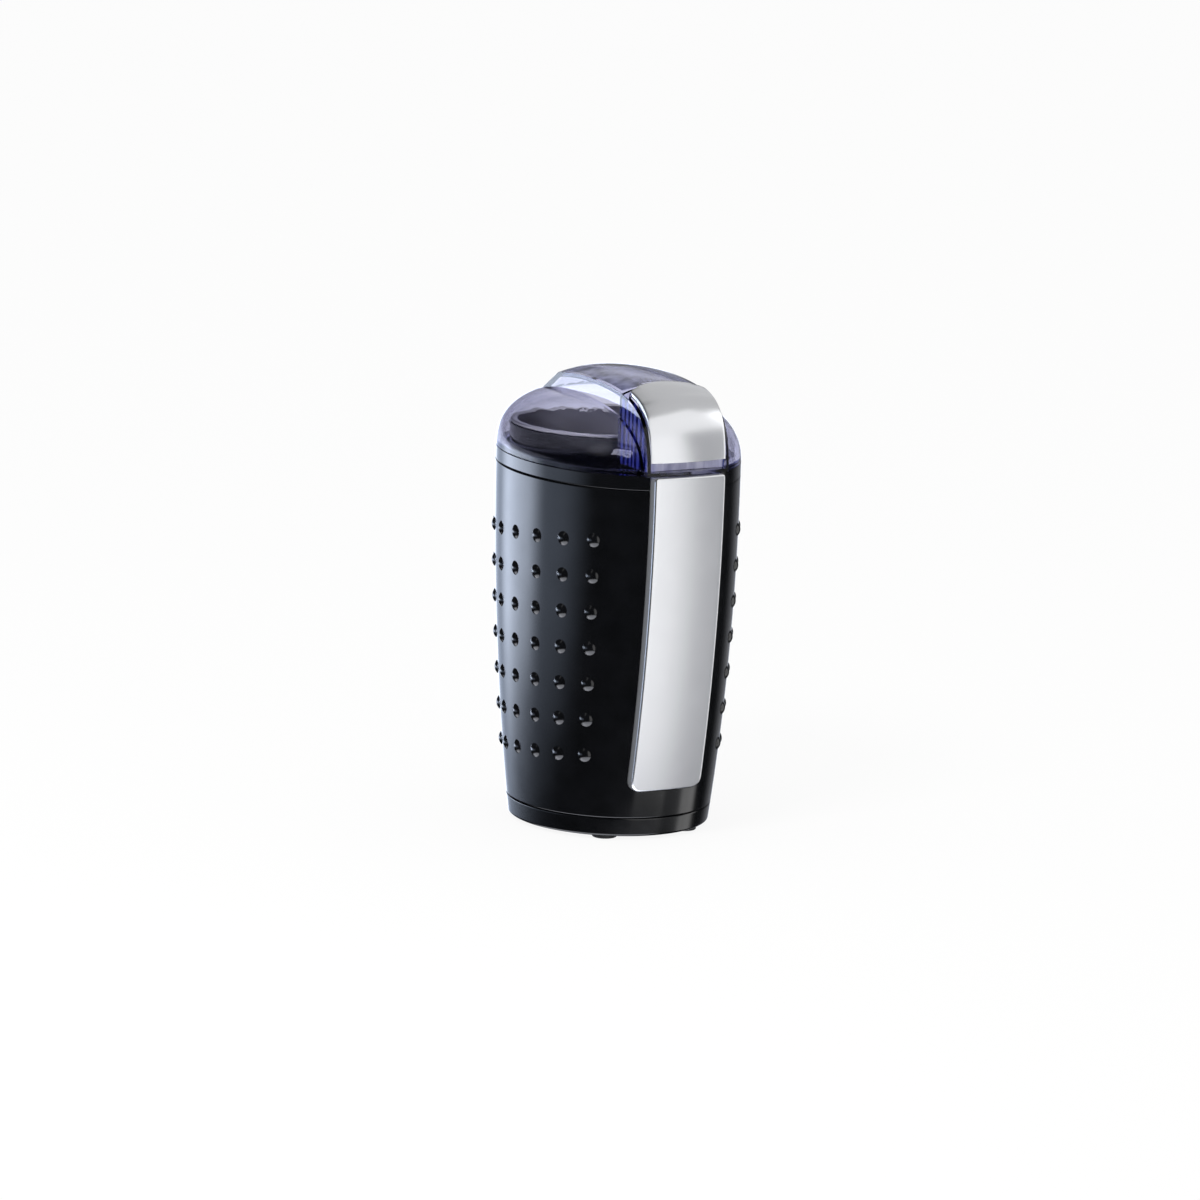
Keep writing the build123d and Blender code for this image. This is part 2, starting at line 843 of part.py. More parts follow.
with BuildPart() as shaft_seal:
    with BuildSketch(level(gasket_low)):
        Circle(seal_radius + seal_flange)
    extrude(amount=gasket_height - seat_gap)
    with BuildSketch(level(gasket_low)):
        Circle(seal_radius)
    extrude(amount=seal_top - gasket_low)
    with BuildSketch(level(gasket_low)):
        Circle(shaft_radius + running_gap)
    extrude(amount=seal_top - gasket_low, mode=Mode.SUBTRACT)
shaft_seal.part.label = "shaft_seal"
export_step(shaft_seal.part, "parts/shaft_seal.step")

with BuildPart() as blade_hub:
    with BuildSketch(level(hub_low)):
        Circle(hub_radius)
        Circle(shaft_radius, mode=Mode.SUBTRACT)
    extrude(amount=hub_height)
blade_hub.part.label = "blade_hub"
export_step(blade_hub.part, "parts/blade_hub.step")

with BuildPart() as grinding_blade:
    with BuildSketch(turning_plane):
        with BuildLine():
            half_span = cup_radius - blade_clear
            Polyline(
                (-half_span, blade_low - blade_bend),
                (-blade_flat, blade_low),
                (blade_flat, blade_low),
                (half_span, blade_low + blade_bend),
                (half_span, blade_low + blade_bend + blade_sheet),
                (blade_flat, blade_low + blade_sheet),
                (-blade_flat, blade_low + blade_sheet),
                (-half_span, blade_low - blade_bend + blade_sheet),
                close=True,
            )
        make_face()
    extrude(amount=blade_width / 2, both=True)
    fillet(grinding_blade.edges().filter_by(Axis.Z).group_by(SortBy.DISTANCE)[-1], radius=blade_tip)
    with BuildSketch(level(blade_low)):
        Circle(shaft_radius)
    extrude(amount=blade_sheet, mode=Mode.SUBTRACT)
grinding_blade.part.label = "grinding_blade"
export_step(grinding_blade.part, "parts/grinding_blade.step")

with BuildPart() as blade_nut:
    with BuildSketch(level(nut_low)):
        RegularPolygon(nut_width / 2, 6, major_radius=False)
    extrude(amount=nut_height)
    fillet(blade_nut.edges().group_by(Axis.Z)[-1], radius=nut_round)
    with BuildSketch(level(nut_low)):
        Circle(shaft_radius)
    extrude(amount=shaft_top - nut_low, mode=Mode.SUBTRACT)
blade_nut.part.label = "blade_nut"
export_step(blade_nut.part, "parts/blade_nut.step")

with BuildPart() as motor_shaft:
    with BuildSketch(level(shaft_low)):
        Circle(shaft_radius)
    extrude(amount=shaft_top - shaft_low)
motor_shaft.part.label = "motor_shaft"
export_step(motor_shaft.part, "parts/motor_shaft.step")

# ---- Motor

with BuildPart() as motor_mounts:
    with BuildSketch(level(bracket_top + seat_gap)):
        with GridLocations(2 * mount_spread, 2 * mount_spread, 2, 2):
            Circle(mount_radius)
            Circle(screw_radius + seat_gap, mode=Mode.SUBTRACT)
    extrude(amount=mount_top - bracket_top - seat_gap)
motor_mounts.part.label = "motor_mounts"
export_step(motor_mounts.part, "parts/motor_mounts.step")

with BuildPart() as mount_screws:
    with BuildSketch(level(bracket_low - seat_gap)):
        with GridLocations(2 * mount_spread, 2 * mount_spread, 2, 2):
            Circle(screw_head_radius)
    extrude(amount=-screw_head_height)
    with BuildSketch(level(bracket_low - seat_gap)):
        with GridLocations(2 * mount_spread, 2 * mount_spread, 2, 2):
            Circle(screw_radius)
    extrude(amount=well_top - bracket_low)
mount_screws.part.label = "mount_screws"
export_step(mount_screws.part, "parts/mount_screws.step")

with BuildPart() as upper_bracket:
    with BuildSketch(level(bracket_low)):
        RectangleRounded(stator_width, stator_depth, stator_corner)
    extrude(amount=plate_thick)
    with BuildSketch(level(stator_top + seat_gap)):
        with GridLocations(2 * bolt_x, 2 * bolt_y, 2, 2):
            Circle(pillar_radius)
    extrude(amount=bracket_top - stator_top - seat_gap)
    with BuildSketch(level(bracket_top - bearing_height)):
        Circle(bearing_radius + bearing_wall)
    extrude(amount=bearing_height)
    with BuildSketch(level(bracket_top - bearing_height)):
        Circle(bearing_radius + seat_gap)
    extrude(amount=bearing_height, mode=Mode.SUBTRACT)
    with BuildSketch(level(bracket_low)):
        with GridLocations(2 * mount_spread, 2 * mount_spread, 2, 2):
            Circle(screw_radius + seat_gap)
    extrude(amount=plate_thick, mode=Mode.SUBTRACT)
    with BuildSketch(level(stator_top)):
        with GridLocations(2 * bolt_x, 2 * bolt_y, 2, 2):
            Circle(bolt_radius + seat_gap)
    extrude(amount=bracket_top - stator_top, mode=Mode.SUBTRACT)
upper_bracket.part.label = "upper_bracket"
export_step(upper_bracket.part, "parts/upper_bracket.step")

with BuildPart() as lower_bracket:
    with BuildSketch(level(lower_low)):
        RectangleRounded(stator_width, stator_depth, stator_corner)
        with GridLocations(0, 2 * window_y, 1, 2):
            RectangleRounded(window_length, window_width, bolt_radius, mode=Mode.SUBTRACT)
    extrude(amount=plate_thick)
    with BuildSketch(level(lower_low)):
        with GridLocations(2 * bolt_x, 2 * bolt_y, 2, 2):
            Circle(pillar_radius)
    extrude(amount=stator_low - seat_gap - lower_low)
    with BuildSketch(level(lower_top - bearing_height)):
        Circle(bearing_radius + bearing_wall)
    extrude(amount=bearing_height)
    # feet that carry the brush holders
    with BuildSketch(level(lower_top)):
        with GridLocations(holder_start + holder_end, 0, 2, 1):
            Rectangle(holder_foot, brush_width)
    extrude(amount=holder_low - seat_gap - lower_top)
    with BuildSketch(level(lower_top - bearing_height)):
        Circle(bearing_radius + seat_gap)
    extrude(amount=bearing_height, mode=Mode.SUBTRACT)
    with BuildSketch(level(lower_low)):
        with GridLocations(2 * bolt_x, 2 * bolt_y, 2, 2):
            Circle(bolt_radius + seat_gap)
    extrude(amount=stator_low - lower_low, mode=Mode.SUBTRACT)
lower_bracket.part.label = "lower_bracket"
export_step(lower_bracket.part, "parts/lower_bracket.step")

with BuildPart() as upper_bearing:
    with BuildSketch(level(bracket_top - bearing_height)):
        Circle(bearing_radius)
        Circle(shaft_radius + running_gap, mode=Mode.SUBTRACT)
    extrude(amount=bearing_height)
upper_bearing.part.label = "upper_bearing"
export_step(upper_bearing.part, "parts/upper_bearing.step")

with BuildPart() as lower_bearing:
    with BuildSketch(level(lower_top - bearing_height)):
        Circle(bearing_radius)
        Circle(shaft_radius + running_gap, mode=Mode.SUBTRACT)
    extrude(amount=bearing_height)
lower_bearing.part.label = "lower_bearing"
export_step(lower_bearing.part, "parts/lower_bearing.step")

with BuildPart() as stator_core:
    with BuildSketch(level(stator_low)):
        RectangleRounded(stator_width, stator_depth, stator_corner)
        Circle(armature_radius + air_gap, mode=Mode.SUBTRACT)
        with GridLocations(2 * bolt_x, 2 * bolt_y, 2, 2):
            Circle(bolt_radius + seat_gap, mode=Mode.SUBTRACT)
        with GridLocations(2 * coil_x, coil_inner + coil_outer, 2, 2):
            Rectangle(
                coil_thick + 2 * slide_gap,
                coil_outer - coil_inner + 2 * slide_gap,
                mode=Mode.SUBTRACT,
            )
    extrude(amount=stator_length)
stator_core.part.label = "stator_core"
export_step(stator_core.part, "parts/stator_core.step")

with BuildPart() as field_coils:
    for side in (-1, 1):
        with BuildSketch(Plane.YZ.offset(side * coil_x)):
            with Locations((cup_y, (stator_low + stator_top) / 2)):
                coil_length = stator_length + 2 * coil_overhang
                RectangleRounded(2 * coil_outer, coil_length, coil_overhang - seat_gap)
                Rectangle(2 * coil_inner, stator_length + 2 * seat_gap, mode=Mode.SUBTRACT)
        extrude(amount=coil_thick / 2, both=True)
field_coils.part.label = "field_coils"
export_step(field_coils.part, "parts/field_coils.step")

with BuildPart() as armature_core:
    with BuildSketch(level(core_low)):
        Circle(armature_radius)
        Circle(shaft_radius, mode=Mode.SUBTRACT)
        with PolarLocations(armature_radius, commutator_slots):
            Rectangle(2 * armature_slot_depth, armature_slot_width, mode=Mode.SUBTRACT)
    extrude(amount=core_top - core_low)
armature_core.part.label = "armature_core"
export_step(armature_core.part, "parts/armature_core.step")

with BuildPart() as armature_winding:
    for height in (winding_low, core_top + seat_gap):
        with BuildSketch(level(height)):
            Circle(winding_radius)
            Circle(shaft_radius, mode=Mode.SUBTRACT)
        extrude(amount=winding_height)
    rims = armature_winding.edges().filter_by(GeomType.CIRCLE).group_by(SortBy.RADIUS)[-1]
    fillet(rims, radius=winding_round)
armature_winding.part.label = "armature_winding"
export_step(armature_winding.part, "parts/armature_winding.step")

with BuildPart() as commutator:
    with BuildSketch(level(commutator_low)):
        Circle(commutator_radius)
        Circle(shaft_radius, mode=Mode.SUBTRACT)
        with PolarLocations(commutator_radius, commutator_slots):
            Rectangle(2 * slot_depth, slot_width, mode=Mode.SUBTRACT)
    extrude(amount=commutator_height)
commutator.part.label = "commutator"
export_step(commutator.part, "parts/commutator.step")

with BuildPart() as cooling_fan:
    with BuildSketch(level(fan_low)):
        Circle(fan_radius)
    extrude(amount=fan_plate)
    with BuildSketch(level(fan_low)):
        Circle(fan_hub)
        with PolarLocations((fan_hub + fan_radius) / 2 - fan_edge, fan_blades):
            Rectangle(fan_radius - fan_hub, fan_blade_thick)
    extrude(amount=fan_height)
    with BuildSketch(level(fan_low)):
        Circle(shaft_radius)
    extrude(amount=fan_height, mode=Mode.SUBTRACT)
cooling_fan.part.label = "cooling_fan"
export_step(cooling_fan.part, "parts/cooling_fan.step")

with BuildPart() as motor_bolts:
    with BuildSketch(level(lower_low - seat_gap)):
        with GridLocations(2 * bolt_x, 2 * bolt_y, 2, 2):
            RegularPolygon(screw_head_radius, 6)
    extrude(amount=-screw_head_height)
    with BuildSketch(level(lower_low - seat_gap)):
        with GridLocations(2 * bolt_x, 2 * bolt_y, 2, 2):
            Circle(bolt_radius)
    extrude(amount=bracket_top - lower_low)
motor_bolts.part.label = "motor_bolts"
export_step(motor_bolts.part, "parts/motor_bolts.step")

# ---- Brushes, one on each side of the commutator

with BuildPart() as brush_holders:
    for side in (-1, 1):
        middle = side * (holder_start + holder_end) / 2
        with BuildSketch(Plane((middle, cup_y, holder_low))):
            Rectangle(holder_length, brush_width + 2 * holder_wall + 2 * seat_gap)
        extrude(amount=brush_height + 2 * holder_wall + 2 * seat_gap)
    with BuildSketch(Plane((0, cup_y, holder_low + holder_wall))):
        Rectangle(2 * (holder_end - holder_wall), brush_width + 2 * seat_gap)
    extrude(amount=brush_height + 2 * seat_gap, mode=Mode.SUBTRACT)
brush_holders.part.label = "brush_holders"
export_step(brush_holders.part, "parts/brush_holders.step")

with BuildPart() as carbon_brushes:
    for side in (-1, 1):
        with BuildSketch(Plane((side * (brush_start + brush_length / 2), cup_y, brush_middle))):
            Rectangle(brush_length, brush_width)
        extrude(amount=brush_height / 2, both=True)
carbon_brushes.part.label = "carbon_brushes"
export_step(carbon_brushes.part, "parts/carbon_brushes.step")

brush_spring_length = holder_end - holder_wall - brush_start - brush_length - 2 * seat_gap

with BuildPart() as brush_springs:
    for side in (-1, 1):
        spring_start = (side * (brush_start + brush_length + seat_gap), cup_y, brush_middle)
        spring_base = Plane(spring_start, z_dir=(side, 0, 0))
        add(helical_spring(spring_base, brush_width / 2 - spring_wire, brush_spring_length))
brush_springs.part.label = "brush_springs"
export_step(brush_springs.part, "parts/brush_springs.step")

# ---- Switch chain

with BuildPart() as switch_plunger:
    with BuildSketch(level(plunger_low, plunger_y)):
        Circle(plunger_radius)
    extrude(amount=head_top - plunger_low)
    fillet(switch_plunger.edges().group_by(Axis.Z)[0], radius=plunger_tip)
    with BuildSketch(level(head_low, plunger_y)):
        Circle(plunger_head_radius)
    extrude(amount=plunger_head)
    fillet(switch_plunger.edges().group_by(Axis.Z)[-1], radius=plunger_edge)
switch_plunger.part.label = "switch_plunger"
export_step(switch_plunger.part, "parts/switch_plunger.step")

with BuildPart() as plunger_clip:
    with BuildSketch(level(tower_low - seat_gap, plunger_y)):
        Circle(clip_radius)
        Circle(plunger_radius, mode=Mode.SUBTRACT)
    extrude(amount=-clip_thick)
plunger_clip.part.label = "plunger_clip"
export_step(plunger_clip.part, "parts/plunger_clip.step")

with BuildPart() as plunger_seal:
    with BuildSketch(level(deck_top, plunger_y)):
        Circle(plunger_head_radius + slide_gap + seal_flange)
        Circle(plunger_head_radius + slide_gap, mode=Mode.SUBTRACT)
    extrude(amount=plunger_stand / 2)
plunger_seal.part.label = "plunger_seal"
export_step(plunger_seal.part, "parts/plunger_seal.step")

plunger_spring_radius = (plunger_radius + plunger_head_radius) / 2
plunger_spring_height = head_low - spring_floor - 2 * seat_gap
spring_seat = level(spring_floor + seat_gap, plunger_y)

with BuildPart() as plunger_spring:
    add(helical_spring(spring_seat, plunger_spring_radius, plunger_spring_height))
plunger_spring.part.label = "plunger_spring"
export_step(plunger_spring.part, "parts/plunger_spring.step")

switch_plane = Plane((switch_shift, (case_front + case_back) / 2, case_low))
screw_plane = Plane.XZ.offset(-case_back)
pivot_x = lever_arm
pivot_z = lever_low + lever_sheet / 2
knuckle_radius = pivot_radius + running_gap + knuckle_wall

with BuildPart() as microswitch:
    with BuildSketch(switch_plane):
        Rectangle(switch_length, switch_width)
    extrude(amount=switch_height)
    # ears that hold the lever's pin
    for side in (-1, 1):
        ear_y = plunger_y + side * (lever_width / 2 + slide_gap + ear_thick / 2)
        with BuildSketch(Plane((pivot_x, ear_y, case_top))):
            Rectangle(2 * knuckle_radius, ear_thick)
        extrude(amount=pivot_z - case_top + knuckle_radius)
    with BuildSketch(Plane.XZ.offset(-plunger_y - switch_width)):
        with Locations((pivot_x, pivot_z)):
            Circle(pivot_radius + seat_gap)
    extrude(amount=2 * switch_width, mode=Mode.SUBTRACT)
    with BuildSketch(Plane((lever_arm / 2, plunger_y, case_top))):
        Rectangle(2 * switch_button, lever_width / 2)
    extrude(amount=switch_button)
    with BuildSketch(screw_plane):
        with Locations((switch_shift, case_low + switch_hole_height)):
            with GridLocations(switch_hole_spacing, 0, 2, 1):
                Circle(small_screw + seat_gap)
    extrude(amount=switch_width, mode=Mode.SUBTRACT)
microswitch.part.label = "microswitch"
export_step(microswitch.part, "parts/microswitch.step")

with BuildPart() as lever_pin:
    with BuildSketch(Plane.XZ.offset(-plunger_y)):
        with Locations((pivot_x, pivot_z)):
            Circle(pivot_radius)
    extrude(amount=lever_width / 2 + slide_gap + ear_thick, both=True)
lever_pin.part.label = "lever_pin"
export_step(lever_pin.part, "parts/lever_pin.step")

with BuildPart() as switch_lever:
    with BuildSketch(Plane.XZ.offset(-plunger_y)):
        with Locations(((pivot_x - lever_overhang) / 2, pivot_z)):
            Rectangle(pivot_x + lever_overhang, lever_sheet)
        with Locations((pivot_x, pivot_z)):
            Circle(knuckle_radius)
            Circle(pivot_radius + running_gap, mode=Mode.SUBTRACT)
    extrude(amount=lever_width / 2, both=True)
switch_lever.part.label = "switch_lever"
export_step(switch_lever.part, "parts/switch_lever.step")

with BuildPart() as switch_tabs:
    with BuildSketch(switch_plane.offset(-seat_gap)):
        with GridLocations(tab_pitch, 0, tab_count, 1):
            Rectangle(tab_sheet, tab_width)
    extrude(amount=-tab_length)
switch_tabs.part.label = "switch_tabs"
export_step(switch_tabs.part, "parts/switch_tabs.step")

with BuildPart() as switch_bracket:
    with BuildSketch(Plane((switch_shift, bracket_face + bracket_sheet / 2, case_low))):
        Rectangle(switch_length, bracket_sheet)
    extrude(amount=deck_low - seat_gap - case_low)
    with BuildSketch(Plane((switch_shift, bracket_face + bracket_flange / 2, deck_low - seat_gap))):
        Rectangle(switch_length, bracket_flange)
    extrude(amount=-bracket_sheet)
    with BuildSketch(Plane((switch_shift, bracket_screw_y, deck_low))):
        with GridLocations(switch_length / 2, 0, 2, 1):
            Circle(small_screw + seat_gap)
    extrude(amount=-3 * bracket_sheet, mode=Mode.SUBTRACT)
    with BuildSketch(screw_plane):
        with Locations((switch_shift, case_low + switch_hole_height)):
            with GridLocations(switch_hole_spacing, 0, 2, 1):
                Circle(small_screw + seat_gap)
    extrude(amount=-3 * bracket_sheet, mode=Mode.SUBTRACT)
switch_bracket.part.label = "switch_bracket"
export_step(switch_bracket.part, "parts/switch_bracket.step")

with BuildPart() as switch_screws:
    with BuildSketch(Plane.XZ.offset(-case_front + seat_gap)):
        with Locations((switch_shift, case_low + switch_hole_height)):
            with GridLocations(switch_hole_spacing, 0, 2, 1):
                Circle(small_head)
    extrude(amount=small_head_height)
    with BuildSketch(Plane.XZ.offset(-case_front + seat_gap)):
        with Locations((switch_shift, case_low + switch_hole_height)):
            with GridLocations(switch_hole_spacing, 0, 2, 1):
                Circle(small_screw)
    extrude(amount=-switch_width - 2 * bracket_sheet)
switch_screws.part.label = "switch_screws"
export_step(switch_screws.part, "parts/switch_screws.step")

with BuildPart() as bracket_screws:
    screw_seat = deck_low - bracket_sheet - 2 * seat_gap
    with BuildSketch(Plane((switch_shift, bracket_screw_y, screw_seat))):
        with GridLocations(switch_length / 2, 0, 2, 1):
            Circle(small_head)
    extrude(amount=-small_head_height)
    with BuildSketch(Plane((switch_shift, bracket_screw_y, screw_seat))):
        with GridLocations(switch_length / 2, 0, 2, 1):
            Circle(small_screw)
    extrude(amount=bracket_sheet + deck_thick - slide_gap)
bracket_screws.part.label = "bracket_screws"
export_step(bracket_screws.part, "parts/bracket_screws.step")

# ---- Lid

chamber_half = hump_width / 2 - hump_wall
column_y = -chamber_back - column_radius / 2

with BuildPart() as lid_hull:
    add(lid_dome(0))
    add(lid_hump(0, 0))
    split(bisect_by=Plane.XY.offset(lid_low), keep=Keep.TOP)

walls_across = (-hump_width / 2, hump_width / 2)
walls_along = (-rim_depth, hump_wall - chamber_back)
chamber_across = (-chamber_half, chamber_half)
chamber_along = (-rim_depth, -chamber_back)

with BuildPart() as chamber_walls:
    add(block(walls_across, walls_along, (lid_low, over_top)))
    add(block(chamber_across, chamber_along, (0, over_top)), mode=Mode.SUBTRACT)
    for side in (-1, 1):
        with BuildSketch(level(guide_top + seat_gap, column_y, side * (chamber_half - column_radius / 2))):
            Circle(column_radius)
        extrude(amount=column_height)
    add(lid_hull.part, mode=Mode.INTERSECT)

with BuildPart() as lid_rim:
    add(lid_hull.part)
    add(oval_body(lid_under, lid_sill + lip_height, lid_flange, steps=2), mode=Mode.SUBTRACT)
    split(bisect_by=Plane.XY.offset(lid_sill), keep=Keep.BOTTOM)
    add(oval_body(lid_low - spigot_depth, lid_low, shell_wall + slide_gap, steps=2))
    add(oval_body(lid_low - spigot_depth, lid_low, lid_flange, steps=2), mode=Mode.SUBTRACT)

with BuildPart() as lid_shell:
    add(lid_hull.part)
    add(lid_dome(dome_wall), mode=Mode.SUBTRACT)
    add(lid_hump(hump_skin, hump_wall), mode=Mode.SUBTRACT)
    add(chamber_walls.part)
    add(panel_outline(slide_gap, lid_sill), mode=Mode.SUBTRACT)
    add(lid_rim.part)
lid_shell.part.label = "lid_shell"
export_step(lid_shell.part, "parts/lid_shell.step")

guide_across = (seat_gap - chamber_half, chamber_half - seat_gap)
fence_top = guide_top + guide_front_height

with BuildPart() as button_guide:
    add(block(guide_across, (guide_front, -chamber_back - seat_gap), (guide_low, guide_top)))
    add(block(guide_across, (guide_front, guide_front + guide_plate), (guide_low, fence_top)))
    with BuildSketch(level(guide_low, plunger_y)):
        Circle(rod_radius + seat_gap + guide_tube_wall)
    extrude(amount=guide_plate + guide_tube_height)
    for side in (-1, 1):
        with BuildSketch(level(guide_low, post_y, side * post_x)):
            Circle(post_radius)
        extrude(amount=guide_plate + post_height)
    with BuildSketch(level(guide_low, plunger_y)):
        Circle(rod_radius + running_gap)
    extrude(amount=guide_plate + guide_tube_height, mode=Mode.SUBTRACT)
button_guide.part.label = "button_guide"
export_step(button_guide.part, "parts/button_guide.step")

# ---- Press panel

panel_skin = panel_arch(0)
panel_inside = panel_arch(panel_wall)
panel_block = block((-panel_width / 2, panel_width / 2), (-rim_depth, 0), (panel_foot, over_top))

with BuildPart() as press_panel:
    add(panel_skin)
    add(panel_inside, mode=Mode.SUBTRACT)
    # boss over the rod and sleeves over the guide posts
    with BuildSketch(level(rod_top - rod_grip, plunger_y)):
        Circle(rod_radius + rod_socket)
    extrude(amount=rim_height)
    for side in (-1, 1):
        with BuildSketch(level(sleeve_foot, post_y, side * post_x)):
            Circle(post_radius + slide_gap + sleeve_wall)
        extrude(amount=rim_height)
    add(panel_skin, mode=Mode.INTERSECT)
    add(panel_block, mode=Mode.INTERSECT)
    add(panel_outline(0, lid_under), mode=Mode.INTERSECT)
    with BuildSketch(level(rim_height, plunger_y)):
        Circle(rod_radius)
    extrude(amount=rod_top - rim_height, mode=Mode.SUBTRACT)
    for side in (-1, 1):
        with BuildSketch(level(rim_height, post_y, side * post_x)):
            Circle(post_radius + slide_gap)
        extrude(amount=guide_top + post_height + press_travel + slide_gap - rim_height, mode=Mode.SUBTRACT)
press_panel.part.label = "press_panel"
export_step(press_panel.part, "parts/press_panel.step")

with BuildPart() as push_rod:
    with BuildSketch(level(rod_low, plunger_y)):
        Circle(rod_radius)
    extrude(amount=rod_top - rod_low)
    fillet(push_rod.edges().group_by(Axis.Z)[0], radius=plunger_edge)
push_rod.part.label = "push_rod"
export_step(push_rod.part, "parts/push_rod.step")

button_spring_radius = post_radius + slide_gap + sleeve_wall - spring_wire

with BuildPart() as button_springs:
    for side in (-1, 1):
        spring_base = level(guide_top + seat_gap, post_y, side * post_x)
        add(helical_spring(spring_base, button_spring_radius, sleeve_low - 2 * seat_gap))
button_springs.part.label = "button_springs"
export_step(button_springs.part, "parts/button_springs.step")
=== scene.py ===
import bmesh
import bpy
import json
from math import asin, cos, pi, radians, sin, sqrt
from mathutils import Matrix, Vector

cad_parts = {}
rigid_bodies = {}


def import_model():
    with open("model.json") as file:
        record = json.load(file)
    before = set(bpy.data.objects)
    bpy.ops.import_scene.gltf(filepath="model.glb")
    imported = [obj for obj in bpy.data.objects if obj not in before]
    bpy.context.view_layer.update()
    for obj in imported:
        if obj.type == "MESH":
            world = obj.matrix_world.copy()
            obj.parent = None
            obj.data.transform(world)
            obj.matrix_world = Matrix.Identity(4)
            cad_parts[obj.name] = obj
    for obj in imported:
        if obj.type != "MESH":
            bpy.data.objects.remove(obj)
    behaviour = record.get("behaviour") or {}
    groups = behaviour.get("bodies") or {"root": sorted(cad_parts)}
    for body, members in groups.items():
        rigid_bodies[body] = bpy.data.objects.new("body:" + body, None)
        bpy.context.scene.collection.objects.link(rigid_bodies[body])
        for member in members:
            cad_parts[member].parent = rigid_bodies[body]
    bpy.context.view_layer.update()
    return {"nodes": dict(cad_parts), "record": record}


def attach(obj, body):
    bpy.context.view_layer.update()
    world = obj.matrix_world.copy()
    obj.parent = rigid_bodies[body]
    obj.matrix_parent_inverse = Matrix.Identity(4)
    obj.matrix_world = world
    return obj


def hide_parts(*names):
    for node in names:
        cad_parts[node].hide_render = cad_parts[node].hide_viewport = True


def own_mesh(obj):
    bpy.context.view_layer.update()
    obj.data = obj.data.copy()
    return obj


for leftover in list(bpy.data.objects):
    bpy.data.objects.remove(leftover)
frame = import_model()
nodes = frame["nodes"]
print("frame loaded:", len(nodes), "nodes")

mm = 0.001
axisY = 12.0  # upright axis of cup, blade and motor


def makeMesh(name, points, faces, sharp=32):
    mesh = bpy.data.meshes.new(name)
    mesh.from_pydata([(x * mm, y * mm, z * mm) for x, y, z in points], [], faces)
    mesh.validate()
    piece = bpy.data.objects.new(name, mesh)
    bpy.context.scene.collection.objects.link(piece)
    fixNormals(piece)
    shade(piece, sharp)
    return piece


def fixNormals(piece):
    work = bmesh.new()
    work.from_mesh(piece.data)
    bmesh.ops.recalc_face_normals(work, faces=work.faces)
    work.to_mesh(piece.data)
    work.free()


def shade(piece, sharp):
    for face in piece.data.polygons:
        face.use_smooth = True
    piece.data.set_sharp_from_angle(angle=radians(sharp))


# faces over a list of point rings with the same count
def skin(rings, ends=True, wrap=False):
    count = len(rings[0])
    points = [p for ring in rings for p in ring]
    faces = []
    spans = len(rings) if wrap else len(rings) - 1
    for i in range(spans):
        a = i * count
        b = (i + 1) % len(rings) * count
        for j in range(count):
            k = (j + 1) % count
            faces.append((a + j, a + k, b + k, b + j))
    if ends and not wrap:
        faces.append(tuple(range(count)))
        faces.append(tuple(range(len(points) - 1, len(points) - count - 1, -1)))
    return points, faces


def lathe(name, profile, centre=(0.0, axisY), steps=96, sharp=32):
    rings = []
    for radius, height in profile:
        ring = []
        for i in range(steps):
            turn = 2 * pi * i / steps
            ring.append((centre[0] + radius * cos(turn), centre[1] + radius * sin(turn), height))
        rings.append(ring)
    points, faces = skin(rings, wrap=True)
    return makeMesh(name, points, faces, sharp)


# solid between two heights over a plan outline
def prism(name, outline, low, high):
    return makeMesh(name, *skin([[(x, y, z) for x, y in outline] for z in (low, high)]))


def tube(name, bore, radius, low, high, centre, steps=24):
    return lathe(name, [(bore, low), (radius, low), (radius, high), (bore, high)], centre, steps)


def disc(name, centre, radius, low, high, steps=48):
    outline = []
    for i in range(steps):
        turn = 2 * pi * i / steps
        outline.append((centre[0] + radius * cos(turn), centre[1] + radius * sin(turn)))
    return prism(name, outline, low, high)


# compression spring of round wire, with its ends cut flat across the wire
def coil(name, centre, radius, wire, low, high, turns, around=10, steps=40):
    rings = []
    for i in range(turns * steps + 1):
        turn = 2 * pi * i / steps
        height = low + wire / 2 + (high - low - wire) * i / (turns * steps)
        ring = []
        for k in range(around):
            lean = 2 * pi * k / around
            reach = radius + wire / 2 * cos(lean)
            ring.append((
                centre[0] + reach * cos(turn), centre[1] + reach * sin(turn), height + wire / 2 * sin(lean),
            ))
        rings.append(ring)
    return makeMesh(name, *skin(rings), sharp=60)


def cutWith(piece, tool, how="DIFFERENCE"):
    step = piece.modifiers.new("cut", "BOOLEAN")
    step.operation = how
    step.solver = "EXACT"
    step.object = tool
    applyAll(piece)
    bpy.data.objects.remove(tool)
    return piece


# bakes the modifiers into the mesh
def applyAll(piece):
    bpy.context.view_layer.update()
    graph = bpy.context.evaluated_depsgraph_get()
    mesh = bpy.data.meshes.new_from_object(piece.evaluated_get(graph))
    piece.modifiers.clear()
    piece.data = mesh


# one object from several, with their meshes side by side
def joined(name, pieces, sharp=32):
    points = []
    faces = []
    for piece in pieces:
        start = len(points)
        points += [tuple(v.co / mm) for v in piece.data.vertices]
        faces += [tuple(start + v for v in face.vertices) for face in piece.data.polygons]
        bpy.data.objects.remove(piece)
    return makeMesh(name, points, faces, sharp)


def dress(piece, material, body, slot, *replaced):
    piece.data.materials.clear()
    piece.data.materials.append(material)
    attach(piece, body)
    if replaced:
        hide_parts(*replaced)
    return piece


# linear colour from an sRGB hex code
def colour(code):
    channels = [int(code[i:i + 2], 16) / 255 for i in (1, 3, 5)]
    return [c / 12.92 if c <= 0.04045 else ((c + 0.055) / 1.055) ** 2.4 for c in channels] + [1.0]


